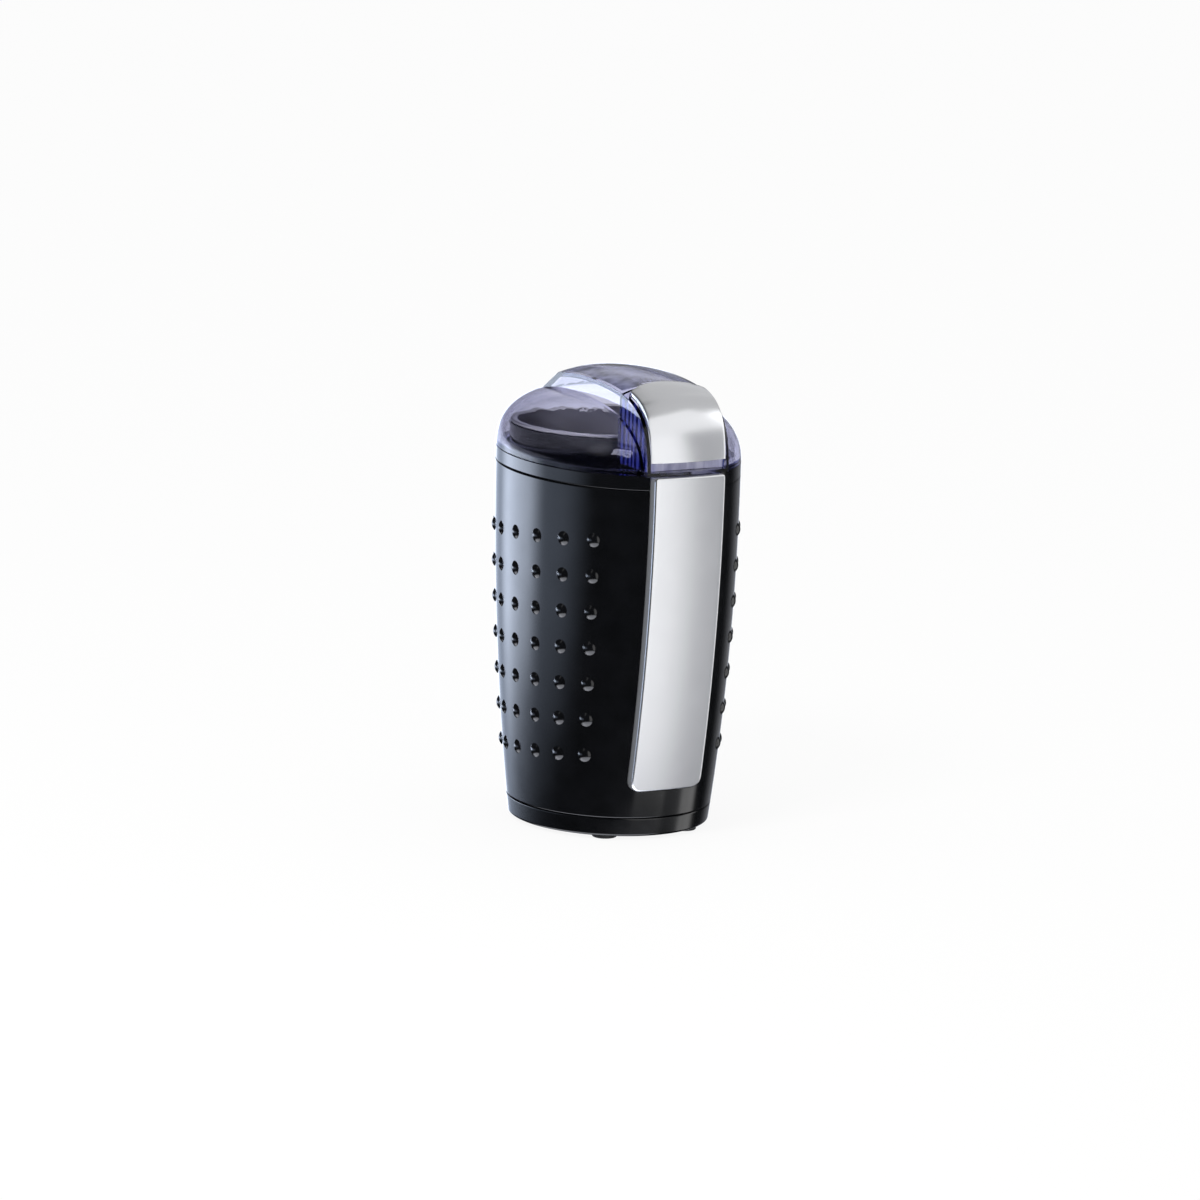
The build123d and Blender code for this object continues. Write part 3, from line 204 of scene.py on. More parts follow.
def addNode(material, kind, settings=None, **inputs):
    node = material.node_tree.nodes.new(kind)
    for key, value in (settings or {}).items():
        setattr(node, key, value)
    for key, value in inputs.items():
        socket = node.inputs[key.replace("_", " ")]
        if isinstance(value, bpy.types.NodeSocket):
            material.node_tree.links.new(value, socket)
        else:
            socket.default_value = value
    return node


def calculate(owner, how, first, second=None):
    node = addNode(owner, "ShaderNodeMath", {"operation": how})
    for socket, value in zip(node.inputs, (first, second)):
        if isinstance(value, bpy.types.NodeSocket):
            owner.node_tree.links.new(value, socket)
        elif value is not None:
            socket.default_value = value
    return node.outputs["Value"]


def mixShaders(owner, share, first, second):
    node = addNode(owner, "ShaderNodeMixShader", Fac=share)
    owner.node_tree.links.new(first, node.inputs[1])
    owner.node_tree.links.new(second, node.inputs[2])
    return node.outputs["Shader"]


# base is the plain colour, before any pattern is linked over it
def newMaterial(name, base, roughness, metallic=0.0, **more):
    material = bpy.data.materials.new(name)
    material.use_nodes = True
    shader = material.node_tree.nodes["Principled BSDF"]
    shader.inputs["Base Color"].default_value = colour(base)
    shader.inputs["Roughness"].default_value = roughness
    shader.inputs["Metallic"].default_value = metallic
    for key, value in more.items():
        shader.inputs[key.replace("_", " ")].default_value = value
    return material, shader


# object coordinates in metres, stretched by a factor on each axis
def places(material, stretch=(1.0, 1.0, 1.0)):
    where = addNode(material, "ShaderNodeTexCoord")
    return addNode(material, "ShaderNodeMapping", Vector=where.outputs["Object"], Scale=stretch).outputs["Vector"]


# noise whose features are about a size in millimetres
def grain(material, size, detail=3.0, stretch=(1.0, 1.0, 1.0)):
    return addNode(
        material, "ShaderNodeTexNoise", Vector=places(material, stretch),
        Scale=1 / (size * mm), Detail=detail,
    ).outputs["Fac"]


# the middle of a noise, from 0.3 to 0.7, drawn out between two values
def spread(material, value, low, high):
    return addNode(
        material, "ShaderNodeMapRange", Value=value,
        From_Min=0.3, From_Max=0.7, To_Min=low, To_Max=high,
    ).outputs["Result"]


# bump with a depth in millimetres
def bump(material, shader, height, depth):
    node = addNode(material, "ShaderNodeBump", Height=height, Distance=depth * mm)
    material.node_tree.links.new(node.outputs["Normal"], shader.inputs["Normal"])


def link(material, value, shader, socket):
    material.node_tree.links.new(value, shader.inputs[socket])


def twoTone(material, value, dark, light):
    ramp = addNode(material, "ShaderNodeValToRGB", Fac=value)
    ramp.color_ramp.elements[0].position = 0.3
    ramp.color_ramp.elements[1].position = 0.7
    ramp.color_ramp.elements[0].color = colour(dark)
    ramp.color_ramp.elements[1].color = colour(light)
    return ramp.outputs["Color"]


# black moulded ABS: deep gloss that softens windows a little, with a breath of haze
blackAbs, shader = newMaterial("glossy black moulded ABS", "#0a0b0d", 0.1)
link(blackAbs, twoTone(blackAbs, grain(blackAbs, 9.0), "#08090b", "#0d0e11"), shader, "Base Color")
link(blackAbs, spread(blackAbs, grain(blackAbs, 14.0, 5.0), 0.12, 0.18), shader, "Roughness")
bump(blackAbs, shader, grain(blackAbs, 4.0, 2.0), 0.002)

# satin silver lacquer over ABS: fine flakes, no brushed lines
silver, shader = newMaterial("satin silver lacquer", "#dcdde0", 0.3, 0.95)
link(silver, twoTone(silver, grain(silver, 0.3, 2.0), "#d9dadd", "#dfe0e3"), shader, "Base Color")
link(silver, spread(silver, grain(silver, 9.0), 0.24, 0.27), shader, "Roughness")

# the sides of the strip get a darker, duller copy of the silver: painted shade for walls that face away from the
# light
shadedSilver, shader = newMaterial("silver lacquer darkened as painted shade", "#85878b", 0.42, 0.4)
link(shadedSilver, twoTone(shadedSilver, grain(shadedSilver, 0.4, 2.0), "#808286", "#8a8c90"), shader, "Base Color")
bump(shadedSilver, shader, grain(shadedSilver, 0.5, 2.0), 0.001)

# clear tinted plastic: the violet only shows where light runs a long way inside
clearPlastic, shader = newMaterial(
    "clear violet-tinted moulded plastic", "#ffffff", 0.0, IOR=1.5, Transmission_Weight=1.0,
    Specular_Tint=colour("#c8c8c8"),
)
depth = addNode(clearPlastic, "ShaderNodeVolumeAbsorption", Color=colour("#5a62da"), Density=108.0)
output = clearPlastic.node_tree.nodes["Material Output"]
clearPlastic.node_tree.links.new(depth.outputs["Volume"], output.inputs["Volume"])
path = addNode(clearPlastic, "ShaderNodeLightPath")
through = addNode(clearPlastic, "ShaderNodeBsdfTransparent", Color=colour("#dcdcf4"))
surface = mixShaders(
    clearPlastic, path.outputs["Is Shadow Ray"], shader.outputs["BSDF"], through.outputs["BSDF"],
)
clearPlastic.node_tree.links.new(surface, output.inputs["Surface"])

# side walls of the press chamber: the same plastic seen edge on, deep blue from its tint through the thickness;
# the light stripes along the flutes are painted refraction highlights
flutedPlastic, shader = newMaterial(
    "fluted violet plastic", "#3d3aa0", 0.08, IOR=1.5, Transmission_Weight=0.55, Specular_IOR_Level=0.6,
)
flutePitch = 3.4
paintedFluteStreaks = addNode(
    flutedPlastic, "ShaderNodeTexWave", {"bands_direction": "Y"},
    Vector=places(flutedPlastic, (1.0, 1.0, 0.2)), Scale=2 * pi / (20 * flutePitch * mm),
    Distortion=7.0, Detail=3.0, Detail_Scale=0.5,
).outputs["Fac"]
# painted highlights: light stripes between the deep blue bands along the flutes
link(flutedPlastic, twoTone(flutedPlastic, paintedFluteStreaks, "#1a1f62", "#7f8cdc"), shader, "Base Color")

# the roof of the hump is textured on its inside, so it scatters light and looks like frosted grey
frosted, shader = newMaterial("frosted violet plastic", "#b4b7c4", 0.45, IOR=1.5, Transmission_Weight=0.5)
link(frosted, twoTone(frosted, grain(frosted, 5.0, 5.0), "#6a6e7c", "#d6d9e4"), shader, "Base Color")
bump(frosted, shader, grain(frosted, 0.8, 3.0), 0.05)

# the fence of the guide plate: a matt, bright violet stand-in for the clear plastic, whose brightness and upright
# streaks are painted light for the light the clear fence passes and bends
paintedFenceLight, shader = newMaterial("violet plastic with painted refracted light", "#c6c6e6", 0.4)
link(paintedFenceLight, twoTone(paintedFenceLight, grain(paintedFenceLight, 3.0, 3.0, (1.0, 1.0, 0.2)), "#8f8fb8", "#dcdcf2"), shader, "Base Color")

# drawn stainless steel: fine lines round the wall
cupSteel, shader = newMaterial("drawn stainless steel", "#c9c7c2", 0.34, 1.0)
link(cupSteel, spread(cupSteel, grain(cupSteel, 2.0, 4.0, (0.05, 0.05, 4.0)), 0.28, 0.4), shader, "Roughness")
bump(cupSteel, shader, grain(cupSteel, 2.0, 4.0, (0.05, 0.05, 6.0)), 0.004)

# the other pieces: base colour, second tone, roughness, metallic, grain in mm, stretch, bump in mm
finishes = {
    "foot_rubber": ("#1b1b1c", "#232323", 0.75, 0.0, 0.4, (1, 1, 1), 0.02),
    "black_rubber": ("#151516", "#1d1d1e", 0.62, 0.0, 0.4, (1, 1, 1), 0.02),
    "silicone": ("#a8a49c", "#b4b0a8", 0.5, 0.0, 1.2, (1, 1, 1), 0.01),
    "blade_steel": ("#bdbab4", "#c9c6c0", 0.2, 1.0, 0.6, (8, 0.3, 1), 0.006),
    "shaft_steel": ("#b3b3b3", "#bfbfbf", 0.22, 1.0, 0.5, (0.2, 0.2, 6), 0.004),
    "zinc_steel": ("#b6bac0", "#c6c8cc", 0.28, 1.0, 0.8, (1, 1, 1), 0.004),
    "spring_steel": ("#8f8e8b", "#a3a29f", 0.3, 1.0, 0.5, (1, 1, 1), 0.004),
    "lamination_steel": ("#55565a", "#77787c", 0.42, 0.9, 1.0, (0.05, 0.05, 2.0), 0.05),
    "bracket_alloy": ("#9b9da0", "#aeb0b3", 0.48, 0.9, 0.7, (1, 1, 1), 0.03),
    "bronze": ("#8a6238", "#a07848", 0.5, 0.85, 0.3, (1, 1, 1), 0.02),
    "brass": ("#b9954a", "#cba95c", 0.28, 1.0, 1.0, (1, 1, 1), 0.004),
    "copper_wire": ("#8c3d1c", "#b4602e", 0.32, 0.75, 0.45, (1, 1, 6), 0.12),
    "copper_bar": ("#b06b48", "#c98762", 0.3, 1.0, 0.6, (0.2, 0.2, 4), 0.01),
    "carbon": ("#1c1c1e", "#2a2a2c", 0.55, 0.1, 0.3, (1, 1, 1), 0.02),
    "grey_nylon": ("#34353a", "#3d3e43", 0.5, 0.0, 0.8, (1, 1, 1), 0.02),
    "white_nylon": ("#dcdad2", "#e6e4dd", 0.42, 0.0, 1.0, (1, 1, 1), 0.01),
    "switch_case": ("#202124", "#28292c", 0.5, 0.0, 0.5, (1, 1, 1), 0.02),
    "capacitor_case": ("#c69a28", "#d2a83a", 0.3, 0.0, 2.0, (1, 1, 1), 0.01),
}
slots = {
    "black_abs": blackAbs, "silver_abs": silver, "clear_tinted_plastic": clearPlastic, "cup_steel": cupSteel,
}
for slot, (first, second, roughness, metallic, size, stretch, relief) in finishes.items():
    material, shader = newMaterial(slot.replace("_", " "), first, roughness, metallic)
    pattern = grain(material, size, 3.0, stretch)
    link(material, twoTone(material, pattern, first, second), shader, "Base Color")
    link(material, spread(material, pattern, roughness * 0.88, roughness * 1.12), shader, "Roughness")
    bump(material, shader, pattern, relief)
    slots[slot] = material

# CAD nodes that stay: their finish by slot, and smooth shading between welded faces
for part in frame["record"]["subparts"]:
    piece = nodes[part["node"]]
    piece.data.materials.clear()
    piece.data.materials.append(slots[part["material_slot"]])
    for face in piece.data.polygons:
        face.use_smooth = True
    weld = piece.modifiers.new("weld", "WELD")
    weld.merge_threshold = 0.002 * mm
    split = piece.modifiers.new("edges", "EDGE_SPLIT")
    split.split_angle = radians(30)
# the guide plate takes the bright matt violet, which is painted light
nodes["button_guide"].data.materials[0] = paintedFenceLight
print("materials ready:", len(slots))

# shape of the body: an oval that bows in towards the foot
body = {
    "rim": 150.0, "rimWidth": 45.3, "rimDepth": 60.5, "footWidth": 39.3, "footDepth": 43.0,
    "widthBow": 2.35, "depthBow": 2, "wall": 2.8,
}


def halfOval(height):
    drop = max(0.0, 1 - height / body["rim"])
    width = body["rimWidth"] - (body["rimWidth"] - body["footWidth"]) * drop ** body["widthBow"]
    depth = body["rimDepth"] - (body["rimDepth"] - body["footDepth"]) * drop ** body["depthBow"]
    return width, depth


# point at a turn from the front, counted towards +X
def onOval(turn, height, inset=0.0):
    width, depth = halfOval(height)
    return ((width - inset) * sin(turn), -(depth - inset) * cos(turn), height)


def ovalRing(height, inset=0.0, steps=180):
    return [onOval(2 * pi * i / steps, height, inset) for i in range(steps)]


# heights and insets of an outer wall with rounded edges; a thin row beside each keeps the shading straight
def softEdge(low, high, rows, soft=0.35):
    bend, flat = soft * 0.3, 0.15
    levels = [(low, soft), (low + bend, bend), (low + soft, 0.0), (low + soft + flat, 0.0)]
    for i in range(1, rows):
        levels.append((low + soft + (high - low - 2 * soft) * i / rows, 0.0))
    return levels + [(high - soft - flat, 0.0), (high - soft, 0.0), (high - bend, bend), (high, soft)]


# main housing: outer wall with the seat of the strip sunk into its front
strip = {
    "half": 15.7, "low": 21.0, "top": 149.85, "corner": 4.5, "topCorner": 1.2,
    "gap": 0.3, "seat": 1.0, "stand": 0.9, "crown": 0.7,
}
shell = {
    "low": 9.35, "top": 144.05, "footRows": 8, "rows": 56, "innerRows": 24,
    "cornerRows": (0.0, 0.15, 0.5, 1.2, 2.2, 3.4, 4.8),
}


# half width of the strip's seat at a height
def seatHalf(height):
    low = strip["low"] - strip["gap"]
    half = strip["half"] + strip["gap"]
    corner = strip["corner"] + strip["gap"]
    if height >= low + corner:
        return half
    return half - corner + sqrt(max(0.0, corner ** 2 - (low + corner - height) ** 2))


def housingRing(height, inset, seat, seatColumns=14, columns=166):
    half = seatHalf(max(height, strip["low"] - strip["gap"]))
    turn = asin(half / halfOval(height)[0])
    ring = [onOval(turn + (2 * pi - 2 * turn) * i / columns, height, inset) for i in range(columns + 1)]
    for i in range(seatColumns + 1):
        ring.append(onOval(-turn + 2 * turn * i / seatColumns, height, seat))
    return ring


seatLow = strip["low"] - strip["gap"]
cornerTop = seatLow + shell["cornerRows"][-1]
foot = softEdge(shell["low"], seatLow, shell["footRows"])
above = softEdge(cornerTop + 0.1, shell["top"], shell["rows"])
levels = [(z, i, i) for z, i in foot if z < seatLow - 0.4] + [(seatLow, 0.0, 0.0)]
levels += [(seatLow + z, 0.0, strip["seat"]) for z in shell["cornerRows"]]
levels += [(z, i, max(i, strip["seat"])) for z, i in above if z > cornerTop + 0.7]
for i in range(shell["innerRows"] + 1):
    height = shell["top"] - (shell["top"] - shell["low"]) * i / shell["innerRows"]
    levels.append((height, body["wall"], body["wall"]))
points, faces = skin([housingRing(*row) for row in levels], wrap=True)
housing = makeMesh("main_housing_shell", points, faces, 40)

# slot for the cord gland, open to the base cover
inlet = {"half": 5.4, "height": 24.0, "foot": 5.0, "front": 40.0, "back": 52.0, "steps": 24}
outline = [(-inlet["half"], inlet["foot"]), (inlet["half"], inlet["foot"])]
for i in range(inlet["steps"] + 1):
    turn = pi * i / inlet["steps"]
    outline.append((inlet["half"] * cos(turn), inlet["height"] + inlet["half"] * sin(turn)))
rings = [[(x, y, z) for x, z in outline] for y in (inlet["front"], inlet["back"])]
housing = cutWith(housing, makeMesh("slot", *skin(rings)))
shade(housing, 40)

# screw posts inside the foot of the shell
post = {
    "bore": 1.6, "radius": 3.6, "low": 14.5, "top": 26.5,
    "places": ((27.0, -21.0), (-27.0, -21.0), (20.5, 28.5), (-20.5, 28.5)),
}
posts = [tube("post", post["bore"], post["radius"], post["low"], post["top"], place) for place in post["places"]]
housing = joined("main_housing_shell", [housing] + posts, 40)
dress(housing, blackAbs, "base_unit", "black_abs", "main_housing")

# grip dimples: rounded caps that run out into the wall
dimples = {
    "rows": 7, "columns": 7, "radius": 2.85, "rise": 1.2, "pitch": 14.6, "turn": 14.7, "top": 119.8,
    "slope": 0.08, "skirt": 1.14, "blend": 0.02, "tuck": 0.05, "sink": 0.06,
}


def dimpleCap(turn, height, rings=9, steps=28):
    spot = Vector(onOval(turn, height))
    nudge = 0.001
    along = (Vector(onOval(turn + nudge, height)) - spot) / nudge
    upward = Vector(onOval(turn, height + 0.1)) - spot
    normal = along.cross(upward).normalized()
    if normal.x * spot.x < 0:
        normal.negate()
    ball = (dimples["radius"] ** 2 + dimples["rise"] ** 2) / (2 * dimples["rise"])
    cap = []
    for ring in range(rings + 1):
        reach = dimples["radius"] * dimples["skirt"] * ring / rings
        rise = sqrt(max(0.0, ball ** 2 - reach ** 2)) - ball + dimples["rise"]
        rise = 0.5 * (rise + sqrt(rise ** 2 + dimples["blend"]))  # runs out softly into the wall
        rise -= dimples["tuck"] * (ring / rings) ** 4 + dimples["sink"]
        row = []
        for step in range(steps):
            angle = 2 * pi * step / steps
            place = onOval(turn + reach * cos(angle) / along.length, height + reach * sin(angle))
            row.append(tuple(Vector(place) + normal * rise))
        cap.append(row)
    return cap


points = []
faces = []
for side in (-1, 1):
    for row in range(dimples["rows"]):
        for column in range(dimples["columns"]):
            around = radians(dimples["turn"] * (column - (dimples["columns"] - 1) / 2))
            height = dimples["top"] - dimples["pitch"] * row
            height -= dimples["slope"] * halfOval(height)[1] * sin(around)
            capPoints, capFaces = skin(dimpleCap(side * (pi / 2 + around), height), ends=False)
            start = len(points)
            points += capPoints
            faces += [tuple(start + v for v in face) for face in capFaces]
grips = makeMesh("grip_dimples", points, faces, 60)
dress(grips, blackAbs, "base_unit", "black_abs")
print("housing made")

# collar: the moulding under the lid seam, with the deck, the cup's well and the plunger's tower
collar = {
    "low": 144.35, "top": 150.0, "deck": 147.5, "deckLow": 145.0, "deckEdge": 6.0, "lipLow": 139.2,
    "lipOut": 2.9, "lipIn": 4.5, "neck": 37.3, "neckTop": 159.1, "well": 35.3, "wellFloor": 107.4,
    "wellLow": 104.4, "shaft": 4.5, "soft": 0.2,
}
plunger = {"y": -44.5, "bore": 4.4, "tower": 5.4, "top": 147.4, "floor": 132.0, "low": 125.0, "guide": 2.25}
outside = [(z, i, max(i, strip["seat"])) for z, i in softEdge(collar["low"], collar["top"], 4, 0.3)]
rings = [housingRing(*row) for row in outside]
inside = (
    (collar["top"], body["wall"]), (collar["deck"], body["wall"]), (collar["deck"], collar["deckEdge"]),
    (collar["deckLow"], collar["deckEdge"]), (collar["deckLow"], collar["lipIn"]),
    (collar["lipLow"], collar["lipIn"]), (collar["lipLow"], collar["lipOut"]), (collar["low"], collar["lipOut"]),
)
rings += [housingRing(height, inset, inset) for height, inset in inside]
collarRing = makeMesh("collar_ring", *skin(rings, wrap=True), sharp=30)


# point just inside the neck's outer face, in line with a point of the rim
def roundNeck(point, height):
    ray = Vector((point[0], point[1] - axisY)).normalized() * (collar["neck"] - collar["soft"])
    return (ray.x, ray.y + axisY, height)


edge = ovalRing(collar["deck"], collar["deckEdge"] - 0.1)
rings = [
    [(x, y, collar["deck"]) for x, y, z in edge],
    [roundNeck(point, collar["deck"]) for point in edge],
    [roundNeck(point, collar["deckLow"]) for point in edge],
    [(x, y, collar["deckLow"]) for x, y, z in edge],
]
deck = makeMesh("deck", *skin(rings, wrap=True))
through = disc("hole", (0, plunger["y"]), plunger["bore"], collar["deckLow"] - 5, collar["deck"] + 2.5)
deck = cutWith(deck, through)
neck = lathe("neck", [
    (collar["well"], collar["neckTop"] - collar["soft"]), (collar["well"] + collar["soft"], collar["neckTop"]),
    (collar["neck"] - collar["soft"], collar["neckTop"]), (collar["neck"], collar["neckTop"] - collar["soft"]),
    (collar["neck"], collar["wellLow"]), (collar["shaft"], collar["wellLow"]),
    (collar["shaft"], collar["wellFloor"]), (collar["well"], collar["wellFloor"]),
])
tower = lathe("tower", [
    (plunger["bore"], plunger["top"]), (plunger["tower"], plunger["top"]), (plunger["tower"], plunger["low"]),
    (plunger["guide"], plunger["low"]), (plunger["guide"], plunger["floor"]), (plunger["bore"], plunger["floor"]),
], (0, plunger["y"]), 48)
collarPiece = joined("top_housing_shell", [collarRing, deck, neck, tower], 30)
dress(collarPiece, blackAbs, "base_unit", "black_abs", "top_housing")

# base cover: a shallow tray with vents, screw holes and seats for the feet
cover = {
    "low": 1.5, "top": 9.05, "middle": 5.6, "floor": 4.0, "lip": 14.2, "lipOut": 2.9, "lipIn": 4.5,
    "sink": (3.0, 4.6), "seat": (5.1, 2.7), "feet": ((18.0, -31.0), (-18.0, -31.0), (12.0, 34.0), (-12.0, 34.0)),
    "vent": {"length": 26.0, "width": 2.2, "pitch": 5.0, "count": 7, "steps": 16},
}
rows = [(cover["low"] + z, i) for z, i in ((0.0, 0.9), (0.12, 0.45), (0.45, 0.12), (0.9, 0.0), (1.05, 0.0))]
rows.append((cover["middle"], 0.0))
rows += [(cover["top"] - z, i) for z, i in ((0.5, 0.0), (0.3, 0.0), (0.1, 0.1), (0.0, 0.35))]
rows += [(cover["top"], cover["lipOut"]), (cover["lip"], cover["lipOut"])]
rows += [(cover["lip"], cover["lipIn"]), (cover["floor"], cover["lipIn"])]
tray = makeMesh("base_cover_shell", *skin([ovalRing(z, i) for z, i in rows]))
vent = cover["vent"]
under = cover["low"] - 1.0
cutters = []
for i in range(vent["count"]):
    y = axisY + vent["pitch"] * (i - (vent["count"] - 1) / 2)
    half = vent["width"] / 2
    outline = []
    for end in (1, -1):
        for k in range(vent["steps"] + 1):
            turn = pi * k / vent["steps"]
            x = vent["length"] / 2 - half + half * sin(turn)
            outline.append((end * x, y - end * half * cos(turn)))
    cutters.append(prism("vent", outline, under, cover["floor"] + 2.0))
cutters += [disc("sink", place, cover["sink"][0], under, cover["sink"][1]) for place in post["places"]]
cutters += [disc("seat", place, cover["seat"][0], under, cover["seat"][1]) for place in cover["feet"]]
tray = cutWith(tray, joined("cuts", cutters))
shade(tray, 30)
for place in post["places"]:
    below = tube("post", post["bore"], post["radius"], cover["floor"], cover["lip"], place)
    tray = joined("base_cover_shell", [tray, below], 30)
dress(tray, blackAbs, "base_unit", "black_abs", "base_cover")
print("collar and base cover made")

# front strip: a satin face, bright rounded edges and side walls down into its seat
face = {
    "edge": 0.85, "rows": 70, "columns": 18, "foot": 0.9, "flatFrom": 4.2,
    "lowRows": (0.0, 0.06, 0.25, 0.6, 1.1, 1.8, 2.8), "topRows": (0.65, 0.35, 0.1, 0.0),
}


# half width of the strip at a height, drawn in by the edge rounding
def stripHalf(height, draw):
    low = strip["low"] + draw
    top = strip["top"] - draw
    half = strip["half"] - draw
    for end, corner in ((low, strip["corner"] - draw), (top, strip["topCorner"] - draw)):
        reach = abs(height - end)
        if reach < corner:
            return half - corner + sqrt(max(0.0, corner ** 2 - (corner - reach) ** 2))
    return half


def faceAt(x, height):
    half = strip["half"]
    bow = (half ** 2 + strip["crown"] ** 2) / (2 * strip["crown"])
    return x ** 2 / (2 * bow) - halfOval(height)[1] - strip["stand"]


low = strip["low"] + face["edge"]
top = strip["top"] - face["edge"]
span = top - strip["topCorner"] - low - face["flatFrom"]
heights = [low + z for z in face["lowRows"]]
heights += [low + face["flatFrom"] + span * i / face["rows"] for i in range(face["rows"] + 1)]
heights += [top - z for z in face["topRows"]]
grid = []
for height in heights:
    half = stripHalf(height, face["edge"])
    grid.append([(half * (2 * i / face["columns"] - 1), height) for i in range(face["columns"] + 1)])
points = [(x, faceAt(x, z), z) for row in grid for x, z in row]
count = face["columns"] + 1
faces = []
for i in range(len(grid) - 1):
    for j in range(count - 1):
        a = i * count + j
        faces.append((a, a + 1, a + 1 + count, a + count))
last = (len(grid) - 1) * count  # the rim of the face, point by point
loop = list(range(count)) + [i * count + count - 1 for i in range(1, len(grid))]
loop += [last + j for j in range(count - 2, -1, -1)] + [i * count for i in range(len(grid) - 2, 0, -1)]
flat = [(points[i][0], points[i][2]) for i in loop]
outward = []
for i in range(len(flat)):
    before, after = flat[i - 1], flat[(i + 1) % len(flat)]
    way = Vector((after[1] - before[1], before[0] - after[0])).normalized()
    outward.append(way)
before = loop
side = []
bends = 4  # steps round the edge; one more runs down into the seat
for step in range(1, bends + 2):
    turn = pi / 2 * min(step, bends) / bends
    ring = []
    for i in range(len(flat)):
        x = flat[i][0] + outward[i].x * face["edge"] * sin(turn)
        z = flat[i][1] + outward[i].y * face["edge"] * sin(turn)
        y = faceAt(flat[i][0], flat[i][1]) + face["edge"] * (1 - cos(turn))
        if step > bends:
            width, depth = halfOval(z)
            y = -(depth - face["foot"]) * sqrt(1 - (x / (width - face["foot"])) ** 2)
        ring.append(len(points))
        points.append((x, y, z))
    for i in range(len(flat)):
        k = (i + 1) % len(flat)
        (side if step > bends else faces).append((before[i], before[k], ring[k], ring[i]))
    before = ring
stripPiece = makeMesh("front_strip", points, faces, 50)
dress(stripPiece, silver, "base_unit", "silver_abs", "front_panel")
side.append(tuple(before))
stripSide = makeMesh("front_strip_side", points, side, 50)
# the strip's side walls take the darker silver, which is painted shade
dress(stripSide, shadedSilver, "base_unit", "silver_abs")
print("strip made")

# the lid's hump, whose shape the press panel carries on
hump = {
    "half": 18.2, "front": 58.3, "bulge": 2.2, "rise": 31.7, "crown": 2.6, "apexY": -7.0, "edge": 0.775,
    "middle": 0.83, "browY": 18.0, "browDrop": 2.1, "tailY": 40.0, "tailSlope": 0.63, "wall": 2.0,
}
button = {
    "half": 16.6, "arch": 16.9, "low": 155.5, "wall": 1.6, "soft": 0.5, "bulge": 2.0, "rise": 33.0, "crown": 2.0,
    "edge": 0.862, "middle": 0.862, "back": 35.0, "bow": 3.0, "cornerBow": 0.93, "corner": 3.0,
}
curveSteps = 28


def bezier(a, b, c, d, steps):
    curve = []
    for i in range(steps + 1):
        t = i / steps
        weights = ((1 - t) ** 3, 3 * t * (1 - t) ** 2, 3 * t * t * (1 - t), t ** 3)
        curve.append(tuple(sum(w * p[k] for w, p in zip(weights, (a, b, c, d))) for k in (0, 1)))
    return curve


# side outline of the hump or the panel at a share of its half width
def sideView(share, inset, low, shape, back):
    blend = share ** 2
    front = inset - hump["front"] - shape["bulge"] * (1 - blend)
    apex = body["rim"] + shape["rise"] - inset + shape["crown"] * (1 - blend)
    full = shape["middle"] + (shape["edge"] - shape["middle"]) * blend
    rise = apex - body["rim"]
    reach = hump["apexY"] - front
    curve = bezier(
        (front, body["rim"] + 0.5), (front, body["rim"] + full * rise),
        (hump["apexY"] - full * reach, apex), (hump["apexY"], apex), curveSteps,
    )
    return [(front, low)] + curve + back(apex, inset, low)


def humpBack(apex, inset, low):
    browY = hump["browY"] - inset / 2
    along = browY - hump["apexY"]
    drop = hump["browDrop"]
    radius = (along ** 2 + drop ** 2) / (2 * drop)
    line = []
    for i in range(1, 11):
        y = along * i / 10
        line.append((hump["apexY"] + y, apex - radius + sqrt(radius ** 2 - y ** 2)))
    tailY = hump["tailY"] - inset
    tail = apex - drop - hump["tailSlope"] * (hump["tailY"] - hump["browY"])
    return line + [(tailY, tail), (tailY, low)]


def plainBack(apex, inset, low):
    return [(0.0, apex), (0.0, low)]


# solid under the panel's curved top, down to a height
def panelArch(inset, low, columns=24):
    rings = []
    for i in range(columns + 1):
        x = button["arch"] * (2 * i / columns - 1)
        line = sideView(abs(x) / button["arch"], inset, low, button, plainBack)
        rings.append([(x, y, z) for y, z in line])
    return makeMesh("arch", *skin(rings))


# plan outline of the panel: a bowed back and rounded back corners
def panelPlan(bend=8, bow=12):
    half = button["half"]
    back = -button["back"]
    corner = button["corner"]
    side = back - button["bow"] * button["cornerBow"] - corner
    outline = [(-half, -90.0), (half, -90.0)]  # well in front of the lid
    for i in range(bend + 1):
        turn = pi / 2 * i / bend
        outline.append((half - corner + corner * cos(turn), side + corner * sin(turn)))
    for i in range(1, bow):
        x = (half - corner) * (1 - 2 * i / bow)
        outline.append((x, back - button["bow"] * (x / half) ** 2))
    for i in range(bend + 1):
        turn = pi / 2 * i / bend
        outline.append((-half + corner - corner * sin(turn), side + corner * cos(turn)))
    return outline


# press panel: a bent silver shell with softly rounded edges and open sides
panel = panelArch(0.0, body["rim"])
panel = cutWith(panel, prism("plan", panelPlan(), button["low"], 200.0), "INTERSECT")
panel = cutWith(panel, panelArch(button["wall"], 140.0))
soften = panel.modifiers.new("soften", "BEVEL")
soften.width = button["soft"] * mm
soften.segments = 3
soften.limit_method = "ANGLE"
soften.angle_limit = radians(50)
applyAll(panel)
shade(panel, 40)
panel.name = "press_panel_shell"
sleeve = {"bore": 2.5, "radius": 4.2, "low": 165.9, "top": 176.0, "x": 10.5, "y": -44.0}
boss = {"bore": 3.0, "radius": 5.0, "low": 170.0, "top": 179.5}
guides = []
for side in (-1, 1):
    spot = (side * sleeve["x"], sleeve["y"])
    guides.append(tube("sleeve", sleeve["bore"], sleeve["radius"], sleeve["low"], sleeve["top"], spot, 32))
guides.append(tube("boss", boss["bore"], boss["radius"], boss["low"], boss["top"], (0, plunger["y"]), 32))
